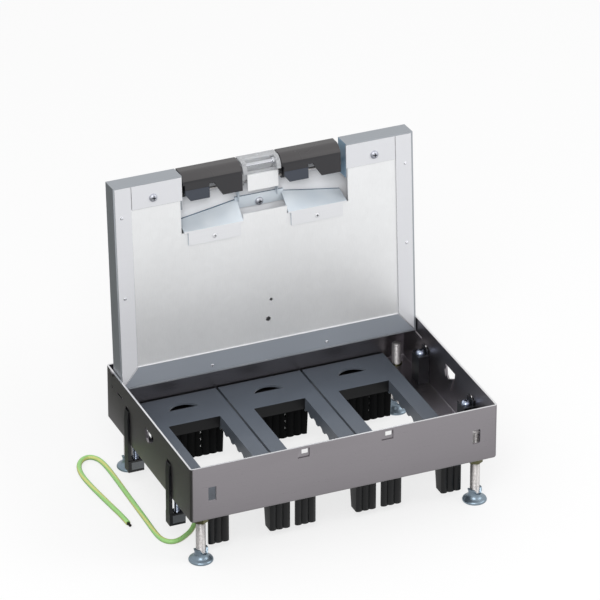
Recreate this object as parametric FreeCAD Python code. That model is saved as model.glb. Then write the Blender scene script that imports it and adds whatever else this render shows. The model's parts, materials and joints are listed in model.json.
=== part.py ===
# Floor socket box: a folded steel tray on four levelling legs, with a hinged lid, three module
# supports, four floor clamps and a protective earth wire. Millimetres, +Z up. The origin is on the
# floor under the middle of the tray. Every piece is modelled with the lid shut, and the lid's
# pieces are then turned to the open position.
import FreeCAD, Part
import math
import os

V = FreeCAD.Vector

# Fits between pieces
running_gap = 0.05
screw_clearance = 1.2
past = 1.0

# Tray
tray_width = 264.0
tray_length = 182.6
tray_depth = 49.0
tray_sheet = 1.5
tray_bend = 2.4
stand_height = 43.0
side_flange = 19.5
end_flange = 13.8
window_inset = 15.0
window_width = 6.6
window_height = 12.5
window_drop = 19.0
lance_half_spacing = 36.0
lance_width = 10.0
lance_height = 8.0
lance_drop = 2.0
lance_recess = 0.9
lance_eye_width = 5.5
lance_eye_height = 4.0

# Pierced holes in the tray's sides, as distances along Y and down from the rim
kite_hole = [(6.3, 12.8), (-12.1, 13.2), (-11.5, 17.8), (1.0, 24.3), (3.9, 22.0)]
kite_rear_petal = [(5.6, 16.8), (15.3, 24.9), (3.9, 23.4)]
kite_low_petal = [(1.0, 24.3), (-6.6, 30.5), (-11.5, 17.8)]
petal_sheet = 1.2
side_dot_d = 2.4
side_dot_drop = 14.4
side_slot_start = 54.0
side_slot_length = 14.0
side_slot_height = 1.6

# Lid
lid_thickness = 16.2
lid_sheet = 1.2
lid_side_gap = 0.8
lid_end_gap = 0.65
lid_open_deg = 93.6
border_side = 20.0
border_front = 25.0
border_sheet = 1.0
panel_sheet = 1.0
panel_gap = 0.6
panel_hole_d = 4.2
panel_hole_back = 37.0
panel_vent_d = 2.6
panel_vent_back = 54.0
panel_vent_x = 3.0
pocket_half = 71.0
pocket_depth = 34.0
notch_depth = 18.3
cheek_clear = 4.0

# Lid hinge pins
hinge_setback = 12.3
hinge_drop = 1.8
hinge_pin_d = 2.4
hinge_pin_grip = 0.8
hinge_head_d = 5.6
hinge_head_h = 1.0

# Cable flaps and finger pull
flap_left_gap = 1.0
flap_right_gap = 4.5
flap_side_gap = 0.5
flap_gap = 0.4
flap_wall = 1.8
flap_round = 9.3
flap_tongue = 14.0
flap_ear = 2.6
flap_ear_inset = 3.0
ear_root = 5.0
ear_nose = 3.0
tongue_outer_cut = 6.0
tongue_outer_bevel = 4.5
tongue_notch_left = -3.0
tongue_notch_right = 8.5
tongue_notch_depth = 12.0
tongue_notch_lean = 7.0
axle_d = 2.5
axle_back = 20.8
axle_drop = 4.7
axle_end = 0.6
pull_width = 33.5
pull_lip = 0.6
pull_inset = 1.0
pull_cheek_depth = 10.0
pull_cheek_foot = 2.0
pull_shelf_back = 8.0
pull_shelf_sheet = 1.4
pull_window_height = 9.0
grip_rod_d = 3.2
grip_rod_back = 4.4
grip_rod_up = 6.2
grip_collar_d = 5.2
grip_collar_w = 2.2
pull_plate_front = 13.3
pull_plate_length = 14.4
pull_plate_sheet = 1.2
pull_plate_left = 6.0
pull_plate_right = 0.7

# Bracket behind the pocket
bracket_line = 49.3
bracket_sheet = 1.5
bracket_foot = 12.5
bracket_tab_inset = 4.0
bracket_end_gap = 0.4
bracket_run_out = 5.0
bracket_run_in = 13.0
bracket_centre_half = 21.0
bracket_centre_front = 15.0
bracket_centre_back = 5.0
bracket_shelf = 4.0
lug_width = 0.8
lug_root = 12.0
lug_height = 4.0

# Lid fasteners
lid_screw_d = 4.0
lid_screw_head_d = 7.0
lid_screw_head_h = 2.2
lid_screw_length = 6.0
lid_screw_gap = 0.2
corner_screw_share = 0.66
corner_screw_front = 13.9
foot_screw_back = 7.8
centre_screw_front = 8.0
rivet_d = 3.2
rivet_h = 0.5
rivet_side_inset = 6.7
rivet_front = 26.9
rivet_middle = 97.6
rivet_rear_x = 50.3
rivet_rear = 6.0

# Module supports
support_margin = 19.6
support_gap = 2.0
support_end_gap = 1.8
support_drop = 41.0
support_plate = 2.0
support_wall = 1.6
module_width = 45.0
module_front = 45.5
module_back = 44.3
band_height = 10.0
comb_count = 7
comb_rise = 2.6
comb_tooth = 3.6
cutout_width = 26.0
cutout_back = 21.0
cutout_height = 9.0
skirt_setback = 19.3
skirt_clear = 8.5
skirt_inner = 17.5
skirt_outer_inset = 1.3
skirt_return_top = 16.0
skirt_return_foot = 9.5
skirt_web_drop = 24.0
flute_count = 3
flute_bulge = 1.2
back_skirt_gap = 13.1
back_skirt_inset = 4.3
back_skirt_taper = 2.0
back_flute_count = 10
knockout_half = 11.0
knockout_count = 4
knockout_start = 7.0
knockout_pitch = 6.4
knockout_width = 1.2
knockout_height = 3.6
clip_half = 3.5
clip_thickness = 2.0
clip_drop = 11.0
clip_gap = 0.4

# Floor clamps
clamp_y = 45.0
clamp_slot = 8.4
clamp_slot_drop = 16.0
clamp_slot_start = 0.4
clamp_axis_inset = 6.6
tower_length = 14.0
tower_depth = 9.6
tower_top_drop = 22.0
hood_height = 4.6
hood_sheet = 1.4
hood_recess = 0.6
screw_d = 5.0
screw_head_d = 8.3
screw_head_h = 3.0
screw_head_crown = 0.6
screw_length = 51.0
claw_width = 7.8
claw_reach = 1.6
claw_gap = 0.3
claw_top_drop = 18.0
claw_top_bevel = 8.0
claw_foot_drop = 25.0
claw_rib_foot = 1.5
claw_block_h = 10.5
claw_block_len = 9.0
claw_block_w = 13.7
claw_floor = 2.0
claw_gusset = 5.0
claw_gusset_start = 0.8
claw_travel = 12.0
claw_spare = 0.5
nut_width = 11.0
nut_height = 7.0

# Levelling legs
leg_inset_x = 13.1
leg_inset_y = 12.8
rod_d = 7.2
rod_top_drop = 28.0
rod_foot_z = 3.2
rod_chamfer = 0.8
boss_flats = 10.8
boss_height = 7.0
boss_collar_d = 9.6
boss_collar_h = 2.6
foot_d = 20.0
foot_base_d = 19.0
foot_rim_z = 1.2
foot_shoulder_d = 16.6
foot_shoulder_z = 3.2
foot_waist_d = 12.8
foot_waist_z = 6.0
foot_ear_d = 8.4
foot_height = 11.6
foot_slot_z = 6.6
foot_turn_deg = 23.0

# Earth terminal and wire
earth_inset = 14.6
earth_y = -30.4
earth_stud_d = 4.0
earth_stud_top = 3.4
earth_stud_below = 2.0
earth_head_h = 2.8
earth_nut_flats = 7.0
earth_nut_h = 3.2
lug_sheet = 0.8
lug_ring_d = 8.6
lug_barrel_d = 5.4
lug_clear = 3.8
wire_top_z = 30.0
wire_d = 4.1
tip_d = 2.6
tip_length = 5.0

# Places that follow from the sizes above
half_w = tray_width / 2
half_l = tray_length / 2
rim_z = stand_height + tray_depth
flange_z = stand_height + tray_sheet
inner_w = half_w - tray_sheet
inner_l = half_l - tray_sheet
lid_half = inner_w - lid_side_gap
lid_end = inner_l - lid_end_gap
under_z = rim_z - lid_thickness
ceiling_z = rim_z - lid_sheet
panel_z = under_z + border_sheet
rim_out = lid_half - lid_sheet
rim_in = rim_out - border_side
corner_screw_x = pocket_half + corner_screw_share * (rim_in - pocket_half)
hinge_y = half_l - hinge_setback
hinge_z = rim_z - hinge_drop
axle_y = -lid_end + axle_back
axle_z = rim_z - axle_drop
flap_width = (2 * pocket_half - flap_left_gap - flap_right_gap - 2 * flap_side_gap - pull_width) / 2
flap_left_x = -pocket_half + flap_left_gap
pull_left_x = flap_left_x + flap_width + flap_side_gap
pull_right_x = pull_left_x + pull_width
flap_right_x = pull_right_x + flap_side_gap
shelf_z = axle_z - ear_nose
bracket_y = -lid_end + bracket_line
bracket_foot_z = panel_z - bracket_sheet
bracket_top_z = ceiling_z - bracket_sheet
bracket_end = pocket_half - bracket_end_gap
tab_in = bracket_centre_half + past
tab_out = pocket_half - bracket_tab_inset
support_top = rim_z - support_drop
support_under = support_top - support_plate
support_pitch = (2 * (inner_w - support_margin) + support_gap) / 3
support_width = support_pitch - support_gap
support_end = inner_l - support_end_gap
skirt_outer = support_width / 2 - skirt_outer_inset
back_skirt_y = module_back + support_wall + back_skirt_gap
back_skirt_half = support_width / 2 - back_skirt_inset
clamp_x = half_w - clamp_axis_inset
head_z = rim_z - tower_top_drop
claw_foot_z = stand_height - claw_foot_drop
leg_x = half_w - leg_inset_x
leg_y = half_l - leg_inset_y
earth_x = -half_w + earth_inset
wire_x = -support_pitch - module_width / 2 - support_wall - lug_clear
wire_floor = wire_d / 2

# The earth wire's route: down from the lug, out under the tray and round a long flat loop
wire_route = [
    (wire_x, earth_y, wire_top_z), (wire_x, earth_y, 21.5), (wire_x - 0.3, earth_y - 0.2, 12.3),
    (wire_x - 2.9, earth_y - 2.4, 5.8), (-110.3, -37.0, wire_floor), (-117.0, -42.3, wire_floor),
    (-123.8, -46.6, wire_floor), (-130.4, -47.9, wire_floor), (-135.6, -44.2, wire_floor),
    (-138.0, -37.2, wire_floor), (-138.4, -26.5, wire_floor), (-137.8, -7.0, wire_floor),
    (-137.5, 24.0, wire_floor), (-136.9, 56.0, wire_floor), (-136.7, 77.0, wire_floor),
    (-137.4, 89.5, wire_floor), (-139.4, 97.6, wire_floor), (-144.4, 102.6, wire_floor),
    (-151.0, 101.0, wire_floor), (-156.0, 95.0, wire_floor), (-159.0, 87.2, wire_floor),
    (-160.4, 76.0, wire_floor), (-159.7, 60.0, wire_floor), (-157.6, 40.0, wire_floor),
    (-155.3, 20.0, wire_floor), (-153.3, 4.0, wire_floor), (-152.8, -7.0, wire_floor),
]


def block(x0, x1, y0, y1, z0, z1):
    return Part.makeBox(x1 - x0, y1 - y0, z1 - z0, V(x0, y0, z0))


def ordered(side, inner, outer):
    """The two distances on the side -1 or +1 of the middle plane, the smaller number first."""
    return sorted((side * inner, side * outer))


def side_block(side, inner, outer, y0, y1, z0, z1):
    x0, x1 = ordered(side, inner, outer)
    return block(x0, x1, y0, y1, z0, z1)


def side_rod(side, inner, outer, y, z, d):
    x0, x1 = ordered(side, inner, outer)
    return rod_x(x0, x1, y, z, d)


def rod_z(x, y, z0, z1, d):
    return Part.makeCylinder(d / 2, z1 - z0, V(x, y, z0))


def rod_x(x0, x1, y, z, d):
    return Part.makeCylinder(d / 2, x1 - x0, V(x0, y, z), V(1, 0, 0))


def face_of(points):
    corners = [V(*point) for point in points]
    return Part.Face(Part.makePolygon(corners + corners[:1]))


def plate_x(points, x0, x1):
    """An outline in Y and Z, extruded from x0 to x1."""
    return face_of([(x0, y, z) for y, z in points]).extrude(V(x1 - x0, 0, 0))


def plate_y(points, y0, y1):
    """An outline in X and Z, extruded from y0 to y1."""
    return face_of([(x, y0, z) for x, z in points]).extrude(V(0, y1 - y0, 0))


def plate_z(points, z0, z1):
    """An outline in X and Y, extruded from z0 to z1."""
    return face_of([(x, y, z0) for x, y in points]).extrude(V(0, 0, z1 - z0))


def hexagon(x, y, z0, z1, flats):
    radius = flats / math.sqrt(3)
    corners = []
    for turn in range(6):
        angle = math.radians(30 + 60 * turn)
        corners.append((x + radius * math.cos(angle), y + radius * math.sin(angle)))
    return plate_z(corners, z0, z1)


def joined(shapes):
    whole = shapes[0]
    for shape in shapes[1:]:
        whole = whole.fuse(shape)
    return whole.removeSplitter()


def without(shape, cutters):
    for cutter in cutters:
        shape = shape.cut(cutter)
    return shape.removeSplitter()


def opened(shape):
    """Turn a piece of the shut lid about the hinge pins to the open position."""
    turned = shape.copy()
    turned.rotate(V(0, hinge_y, hinge_z), V(1, 0, 0), -lid_open_deg)
    return turned


def at_back(distance):
    """The Y of a place on the shut lid, measured forward from its rear edge."""
    return lid_end - distance


def at_front(distance):
    """The Y of a place on the shut lid, measured back from its front edge."""
    return -lid_end + distance


# Frame tray
def rounded_box(half_x, half_y, z0, z1, radius):
    """A box with its upright edges and its bottom edges rounded."""
    box = block(-half_x, half_x, -half_y, half_y, z0, z1)
    bends = []
    for edge in box.Edges:
        upright = abs(edge.tangentAt(edge.FirstParameter).z) > 0.9
        if upright or edge.BoundBox.ZMax < z0 + 0.001:
            bends.append(edge)
    return box.makeFillet(radius, bends)


def flange_cuts(side, end):
    """The holes in a corner of the tray: the clamp's slot and screw hole, and the leg's hole."""
    x = side * clamp_x
    y = end * clamp_y
    slot = side_block(side, clamp_x + screw_d / 2 + clamp_slot_start, half_w + past,
                      y - clamp_slot / 2, y + clamp_slot / 2, stand_height - past, rim_z - clamp_slot_drop)
    screw = rod_z(x, y, stand_height - past, flange_z + past, screw_d + screw_clearance)
    leg = rod_z(side * leg_x, end * leg_y, stand_height - past, flange_z + past,
                boss_collar_d + 2 * running_gap)
    return [slot, screw, leg]


def lance_cuts(side, end):
    """A lance near the rim: a shallow recess pressed into the end wall, with a small eye in it."""
    top = rim_z - lance_drop
    x0 = side * lance_half_spacing - lance_width / 2
    x1 = x0 + lance_width
    y0, y1 = sorted((end * (half_l - lance_recess), end * (half_l + past)))
    recess = block(x0, x1, y0, y1, top - lance_height, top)
    y0, y1 = sorted((end * (inner_l - past), end * (half_l + past)))
    eye = block(x1 - past - lance_eye_width, x1 - past, y0, y1, top - past - lance_eye_height, top - past)
    return [recess, eye]


def side_cuts(side):
    """The holes in a side wall: the kite, the round hole and the slot by the hinge, the pin's hole."""
    x0, x1 = ordered(side, inner_w - past, half_w + past)
    kite = plate_x([(y, rim_z - drop) for y, drop in kite_hole], x0, x1)
    dot = rod_x(x0, x1, hinge_y, rim_z - side_dot_drop, side_dot_d)
    slot = block(x0, x1, side_slot_start, side_slot_start + side_slot_length,
                 rim_z - side_dot_drop, rim_z - side_dot_drop + side_slot_height)
    pin = rod_x(x0, x1, hinge_y, hinge_z, hinge_pin_d + 2 * running_gap)
    return [kite, dot, slot, pin]


def kite_petals(side):
    """The two pointed petals that were pierced out of the kite hole and folded back inside."""
    x0, x1 = ordered(side, inner_w - petal_sheet, inner_w)
    petals = []
    for outline in (kite_rear_petal, kite_low_petal):
        petals.append(plate_x([(y, rim_z - drop) for y, drop in outline], x0, x1))
    return petals


def frame_tray():
    outer = rounded_box(half_w, half_l, stand_height, rim_z, tray_bend)
    inner = rounded_box(inner_w, inner_l, flange_z, rim_z + past, tray_bend - tray_sheet)
    floor_window = block(side_flange - half_w, half_w - side_flange, end_flange - half_l,
                         half_l - end_flange, stand_height - past, flange_z + past)
    cutters = [inner, floor_window]
    petals = []
    for side in (-1, 1):
        for end in (-1, 1):
            cutters += flange_cuts(side, end) + lance_cuts(side, end)
        cutters.append(side_block(side, half_w - window_inset - window_width, half_w - window_inset,
                                  -half_l - past, -inner_l + past,
                                  rim_z - window_drop - window_height, rim_z - window_drop))
        cutters += side_cuts(side)
        petals += kite_petals(side)
    cutters.append(rod_z(earth_x, earth_y, stand_height - past, flange_z + past,
                         earth_stud_d + 2 * running_gap))
    return joined([without(outer, cutters)] + petals)


# Lid
def lid_cover():
    """The folded cover: one skin with four edges turned down, cut away over the pocket."""
    skin = block(-lid_half, lid_half, -lid_end, lid_end, under_z, rim_z)
    hollow = block(-rim_out, rim_out, -lid_end + lid_sheet, lid_end - lid_sheet, under_z - past, ceiling_z)
    notch = block(-pocket_half, pocket_half, -lid_end - past, at_front(notch_depth),
                  under_z - past, rim_z + past)
    cheeks = []
    bores = []
    for side in (-1, 1):
        cheeks.append(side_block(side, pocket_half, pocket_half + lid_sheet, at_front(lid_sheet),
                                 at_front(pocket_depth - cheek_clear), panel_z, ceiling_z))
        bores.append(side_rod(side, rim_out - past, lid_half + past, hinge_y, hinge_z,
                              hinge_pin_d + 2 * running_gap))
        bores.append(side_rod(side, pocket_half - past, pocket_half + lid_sheet + past, axle_y, axle_z,
                              axle_d + 2 * running_gap))
    shell = without(skin, [hollow, notch])
    return without(joined([shell] + cheeks), bores)


def lid_rim():
    """The border strips in the cover's mouth: mitred at the rear, with two plates at the front."""
    y_out = lid_end - lid_sheet
    z1 = under_z + border_sheet
    rear = [(-rim_out, y_out), (rim_out, y_out), (rim_in, y_out - border_side),
            (-rim_in, y_out - border_side)]
    strips = [plate_z(rear, under_z, z1)]
    plates = []
    for side in (-1, 1):
        outline = [(side * rim_out, -y_out), (side * rim_out, y_out),
                   (side * rim_in, y_out - border_side), (side * rim_in, -y_out)]
        strips.append(plate_z(outline, under_z, z1))
        plates.append(side_block(side, pocket_half, rim_in, -y_out, -y_out + border_front, under_z, z1))
    return Part.makeCompound([joined(strips)] + plates)


def lid_panel():
    """The galvanised closing panel that lies on the border, with a tongue between the bracket's feet."""
    half = rim_out - panel_gap
    end = lid_end - lid_sheet - panel_gap
    z1 = panel_z + panel_sheet
    panel = block(-half, half, -end, end, panel_z, z1)
    pocket_end = bracket_y + bracket_sheet
    pocket = block(-pocket_half - lid_sheet - lid_screw_gap, pocket_half + lid_sheet + lid_screw_gap,
                   -lid_end - past, pocket_end, panel_z - past, z1 + past)
    tongue_half = bracket_centre_half - bracket_sheet - flap_gap
    tongue = block(-tongue_half, tongue_half, bracket_y - bracket_centre_back, pocket_end + past, panel_z, z1)
    hole = rod_z(0, at_back(panel_hole_back), panel_z - past, z1 + past, panel_hole_d)
    vent = rod_z(panel_vent_x, at_back(panel_vent_back), panel_z - past, z1 + past, panel_vent_d)
    return without(joined([without(panel, [pocket]), tongue]), [hole, vent])


def bracket_wing(side):
    """One sloping wing: a ruled sheet between its straight foot and its slanting top edge."""
    sections = []
    for x, run in ((bracket_centre_half, bracket_run_in), (bracket_end, bracket_run_out)):
        top_y = bracket_y - run
        corners = [V(side * x, bracket_y, bracket_foot_z),
                   V(side * x, bracket_y + bracket_sheet, bracket_foot_z),
                   V(side * x, top_y + bracket_sheet, bracket_top_z), V(side * x, top_y, bracket_top_z)]
        sections.append(Part.makePolygon(corners + corners[:1]))
    return Part.makeLoft(sections, True, True)


def bracket_side(side):
    """The foot, the shelf along the ceiling and the step beside the centre, on one side."""
    x0, x1 = ordered(side, tab_in, tab_out)
    foot = block(x0, x1, bracket_y, bracket_y + bracket_foot, bracket_foot_z, panel_z)
    shelf_in = bracket_y - bracket_run_in
    shelf_out = bracket_y - bracket_run_out
    shelf = plate_z([(side * bracket_centre_half, shelf_in), (side * bracket_end, shelf_out),
                     (side * bracket_end, shelf_out + bracket_shelf),
                     (side * bracket_centre_half, shelf_in + 2 * bracket_shelf)], bracket_top_z, ceiling_z)
    x0, x1 = ordered(side, bracket_centre_half - bracket_sheet, bracket_centre_half)
    step = plate_x([(bracket_y, bracket_foot_z), (bracket_y + bracket_sheet, bracket_foot_z),
                    (shelf_in + bracket_sheet, bracket_top_z), (shelf_in, bracket_top_z)], x0, x1)
    return [foot, shelf, step]


def axle_lug(x0):
    """A thin lug that reaches forward from the bracket's centre and carries the flap axle."""
    x1 = x0 + lug_width
    y_root = bracket_y - lug_root
    outline = [(y_root, ceiling_z), (y_root, ceiling_z - lug_height), (axle_y, shelf_z), (axle_y, ceiling_z)]
    return plate_x(outline, x0, x1).fuse(rod_x(x0, x1, axle_y, axle_z, 2 * ear_nose))


def lid_bracket():
    """The zinc-plated bracket across the pocket: two feet, two sloping wings and a flat centre."""
    pieces = [block(-bracket_centre_half, bracket_centre_half, bracket_y - bracket_centre_front,
                    bracket_y - bracket_centre_back, bracket_top_z, ceiling_z)]
    for side in (-1, 1):
        pieces.append(bracket_wing(side))
        pieces += bracket_side(side)
    slit = (flap_side_gap + flap_gap - lug_width) / 2
    for x in (pull_left_x - flap_side_gap + slit, pull_right_x - flap_gap + slit):
        pieces.append(axle_lug(x))
    return without(joined(pieces), [rod_x(-pocket_half, pocket_half, axle_y, axle_z,
                                          axle_d + 2 * running_gap)])


def curved_front(x0, x1, tongue_reach):
    """The moulded front that flap and pull share: flat face, round underside, flat bottom."""
    y_face = -lid_end
    y_round = y_face + flap_round
    z_round = under_z + flap_round
    diagonal = math.sqrt(0.5)
    inner = flap_round - flap_wall
    tip = y_round + tongue_reach
    top_back = y_face + notch_depth - flap_gap
    outer_mid = V(x0, y_round - flap_round * diagonal, z_round - flap_round * diagonal)
    inner_mid = V(x0, y_round - inner * diagonal, z_round - inner * diagonal)
    outside = [V(x0, top_back, rim_z), V(x0, y_face, rim_z), V(x0, y_face, z_round)]
    underside = [V(x0, y_round, under_z), V(x0, tip, under_z), V(x0, tip, under_z + flap_wall),
                 V(x0, y_round, under_z + flap_wall)]
    inside = [V(x0, y_face + flap_wall, z_round), V(x0, y_face + flap_wall, rim_z - flap_wall),
              V(x0, top_back, rim_z - flap_wall), outside[0]]
    edges = [Part.Arc(outside[-1], outer_mid, underside[0]).toShape(),
             Part.Arc(underside[-1], inner_mid, inside[0]).toShape()]
    for run in (outside, underside, inside):
        for start, stop in zip(run, run[1:]):
            edges.append(Part.makeLine(start, stop))
    wire = Part.Wire(Part.__sortEdges__(edges))
    return Part.Face(wire).extrude(V(x1 - x0, 0, 0))


def ear(x0):
    """A hinge ear under the flap's top, with the bore that turns on the axle."""
    x1 = x0 + flap_ear
    top_back = -lid_end + notch_depth - flap_gap
    root = top_back - ear_root
    outline = [(root, rim_z - flap_wall), (top_back, rim_z - flap_wall), (axle_y, axle_z + ear_nose),
               (axle_y, shelf_z), (root, axle_z - past)]
    body = plate_x(outline, x0, x1).fuse(rod_x(x0, x1, axle_y, axle_z, 2 * ear_nose))
    return body.cut(rod_x(x0 - past, x1 + past, axle_y, axle_z, axle_d + 2 * running_gap))


def cable_flap(left):
    """One cable flap: curved front, two bevelled tongues with a notch between them, two ears."""
    right = left + flap_width
    middle = left + flap_width / 2
    y_round = -lid_end + flap_round
    tip = y_round + flap_tongue
    low = under_z - past
    high = under_z + flap_wall + past
    outer_cut = left + tongue_outer_cut
    notch_left = middle + tongue_notch_left
    notch_right = middle + tongue_notch_right
    notch_root = tip - tongue_notch_depth
    corner = plate_z([(left - past, tip + past), (outer_cut, tip + past), (outer_cut, tip),
                      (outer_cut - tongue_outer_bevel, tip - tongue_outer_cut),
                      (outer_cut - tongue_outer_bevel, y_round), (left - past, y_round)], low, high)
    notch = plate_z([(notch_left, tip + past), (notch_right, tip + past), (notch_right, tip),
                     (notch_right - tongue_notch_lean, notch_root + past),
                     (notch_right - tongue_notch_lean, notch_root), (notch_left, notch_root)], low, high)
    flap = without(curved_front(left, right, flap_tongue), [corner, notch])
    return joined([flap, ear(left + flap_ear_inset), ear(right - flap_ear_inset - flap_ear)])


def finger_pull():
    """The centre pull: the same curved front, shorter, with two cheeks that hold the grip rod."""
    left = pull_left_x + flap_gap
    right = pull_right_x - flap_gap
    y_face = -lid_end
    pieces = [curved_front(left, right, pull_lip)]
    for x in (left + pull_inset, right - pull_inset - flap_ear):
        pieces.append(block(x, x + flap_ear, y_face + past, y_face + pull_cheek_depth,
                            under_z + pull_cheek_foot, rim_z - past))
        pieces.append(ear(x))
    pieces.append(block(left + pull_inset, right - pull_inset, y_face + pull_shelf_back,
                        y_face + notch_depth - flap_gap, shelf_z - pull_shelf_sheet, shelf_z))
    window = block(left + pull_inset + flap_ear, right - pull_inset - flap_ear, y_face - past,
                   y_face + flap_round + pull_lip + past, under_z - past, under_z + pull_window_height)
    rod_hole = rod_x(left - past, right + past, y_face + grip_rod_back, under_z + grip_rod_up, grip_rod_d)
    return without(joined(pieces), [window, rod_hole])


def grip_rod():
    """The steel bar across the pull, with a collar at its right end."""
    left = pull_left_x + flap_gap + pull_inset
    right = pull_right_x - flap_gap - pull_inset
    y = -lid_end + grip_rod_back
    z = under_z + grip_rod_up
    seat = right - flap_ear
    collar = rod_x(seat - grip_collar_w, seat, y, z, grip_collar_d)
    return joined([rod_x(left, right, y, z, grip_rod_d), collar])


def pull_plate():
    """The pale flat plate behind the grip rod, fixed under the pull's shelf."""
    top = shelf_z - pull_shelf_sheet
    return block(pull_left_x + pull_plate_left, pull_right_x - pull_plate_right,
                 at_front(pull_plate_front), at_front(pull_plate_front + pull_plate_length),
                 top - pull_plate_sheet, top)


def flap_axle():
    reach = pocket_half + lid_sheet + axle_end
    return rod_x(-reach, reach, axle_y, axle_z, axle_d)


# Lid fasteners
def lid_screw_places():
    """Each screw's X and Y, the height of its seat, and how far its shank reaches."""
    places = [(0, bracket_y - centre_screw_front, bracket_top_z, bracket_sheet)]
    for side in (-1, 1):
        places.append((side * corner_screw_x, at_front(corner_screw_front), under_z, lid_screw_length))
        places.append((side * (tab_in + tab_out) / 2, bracket_y + foot_screw_back, bracket_foot_z,
                       lid_screw_length))
    return places


def lid_screws():
    screws = []
    for x, y, seat, reach in lid_screw_places():
        head = Part.makeCone(lid_screw_head_d / 2, lid_screw_head_d * 0.33, lid_screw_head_h,
                             V(x, y, seat), V(0, 0, -1))
        screws.append(joined([head, rod_z(x, y, seat, seat + reach, lid_screw_d)]))
    return screws


def screw_holes(shape):
    """Cut the lid screws' clearance holes through a sheet."""
    holes = []
    for x, y, seat, reach in lid_screw_places():
        holes.append(rod_z(x, y, seat - past, seat + reach, lid_screw_d + lid_screw_gap))
    return without(shape, holes)


def lid_rivets():
    """The small flat rivet heads on the border strips."""
    rivets = []
    for side in (-1, 1):
        x = side * (lid_half - rivet_side_inset)
        for y in (at_front(rivet_front), at_front(rivet_middle)):
            rivets.append(rod_z(x, y, under_z - rivet_h, under_z, rivet_d))
        rivets.append(rod_z(side * rivet_rear_x, at_back(rivet_rear), under_z - rivet_h, under_z, rivet_d))
    return rivets


# Hinge pins
def hinge_pin(side):
    """A headed pin pressed through the tray wall into the lid's turned edge."""
    outer = half_w + hinge_head_h
    shank = side_rod(side, rim_out - hinge_pin_grip, outer, hinge_y, hinge_z, hinge_pin_d)
    head = side_rod(side, half_w, outer, hinge_y, hinge_z, hinge_head_d)
    above_rim = side_block(side, 0, half_w + hinge_head_d, hinge_y - hinge_head_d, hinge_y + hinge_head_d,
                           rim_z, rim_z + hinge_head_d)
    return without(joined([shank, head]), [above_rim])


# Module supports
def comb_wall(x0, x1, y0, y1, z0, z1):
    """A side wall of the module opening, its lower edge cut into round-rooted teeth."""
    pitch = (y1 - y0) / comb_count
    half = (pitch - comb_tooth) / 2
    radius = (half * half + comb_rise * comb_rise) / (2 * comb_rise)
    cutters = []
    for index in range(comb_count):
        middle = y0 + (index + 0.5) * pitch
        cutters.append(rod_x(x0 - past, x1 + past, middle, z0 + comb_rise - radius, 2 * radius))
    return without(block(x0, x1, y0, y1, z0, z1), cutters)


def fluted_sheet(x0, x1, count, y, z0, z1):
    """An upright sheet of round flutes side by side: arcs on its front, a flat back."""
    pitch = (x1 - x0) / count
    back = y + support_wall
    edges = []
    for index in range(count):
        left = x0 + index * pitch
        edges.append(Part.Arc(V(left, y, z0), V(left + pitch / 2, y - flute_bulge, z0),
                              V(left + pitch, y, z0)).toShape())
    edges.append(Part.makeLine(V(x1, y, z0), V(x1, back, z0)))
    edges.append(Part.makeLine(V(x1, back, z0), V(x0, back, z0)))
    edges.append(Part.makeLine(V(x0, back, z0), V(x0, y, z0)))
    return Part.Face(Part.Wire(edges)).extrude(V(0, 0, z1 - z0))


def front_skirt(centre, side):
    """A front leg of a support: three flutes and a return wall that narrows towards its foot."""
    y = -half_l + skirt_setback
    x0, x1 = sorted((centre + side * skirt_inner, centre + side * skirt_outer))
    sheet = fluted_sheet(x0, x1, flute_count, y, skirt_clear, support_under)
    inner = centre + side * skirt_inner
    x0, x1 = sorted((inner, inner + side * support_wall))
    wall = plate_x([(y, skirt_clear), (y + skirt_return_foot, skirt_clear),
                    (y + skirt_return_top, support_under), (y, support_under)], x0, x1)
    return sheet.fuse(wall)


def skirt_web(centre):
    """The stiffening web between the two front skirts, under the plate."""
    back = -half_l + skirt_setback + skirt_return_foot + support_wall
    return block(centre - skirt_inner, centre + skirt_inner, back, back + support_wall,
                 support_top - skirt_web_drop, support_under)


def back_skirt(centre):
    """The corrugated rear skirt, slightly narrower at its foot, with two scored knock-out lines."""
    sheet = fluted_sheet(centre - back_skirt_half, centre + back_skirt_half, back_flute_count,
                         back_skirt_y, skirt_clear, support_under)
    y0 = back_skirt_y - flute_bulge - past
    y1 = back_skirt_y + support_wall + past
    cutters = []
    for side in (-1, 1):
        outer = centre + side * back_skirt_half
        outline = [(outer + side, skirt_clear - past), (outer - side * back_skirt_taper, skirt_clear - past),
                   (outer, support_under), (outer + side, support_under)]
        cutters.append(plate_y(outline, y0, y1))
        x = centre + side * knockout_half
        for index in range(knockout_count):
            z = skirt_clear + knockout_start + index * knockout_pitch
            cutters.append(block(x - knockout_width / 2, x + knockout_width / 2, y0, y1,
                                 z, z + knockout_height))
    return without(sheet, cutters)


def module_collar(centre):
    """The four walls that hang from the plate round the module opening, combed at the sides."""
    half = module_width / 2
    foot = support_top - band_height
    front = -module_front - support_wall
    back = module_back + support_wall
    walls = [block(centre - half, centre + half, front, -module_front, foot, support_under),
             block(centre - half, centre + half, module_back, back, foot, support_under)]
    for side in (-1, 1):
        x0, x1 = sorted((centre + side * half, centre + side * (half + support_wall)))
        walls.append(comb_wall(x0, x1, front, back, foot - comb_rise, support_under))
    return walls


def cable_cutout(centre):
    """The D-shaped cable cut-out behind the modules: a straight front edge and a round rear edge."""
    half = cutout_width / 2
    z0 = support_under - past
    y0 = support_end - cutout_back
    chord = Part.makeLine(V(centre + half, y0, z0), V(centre - half, y0, z0))
    arc = Part.Arc(V(centre - half, y0, z0), V(centre, y0 + cutout_height, z0),
                   V(centre + half, y0, z0)).toShape()
    return Part.Face(Part.Wire([chord, arc])).extrude(V(0, 0, support_plate + 2 * past))


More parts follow.
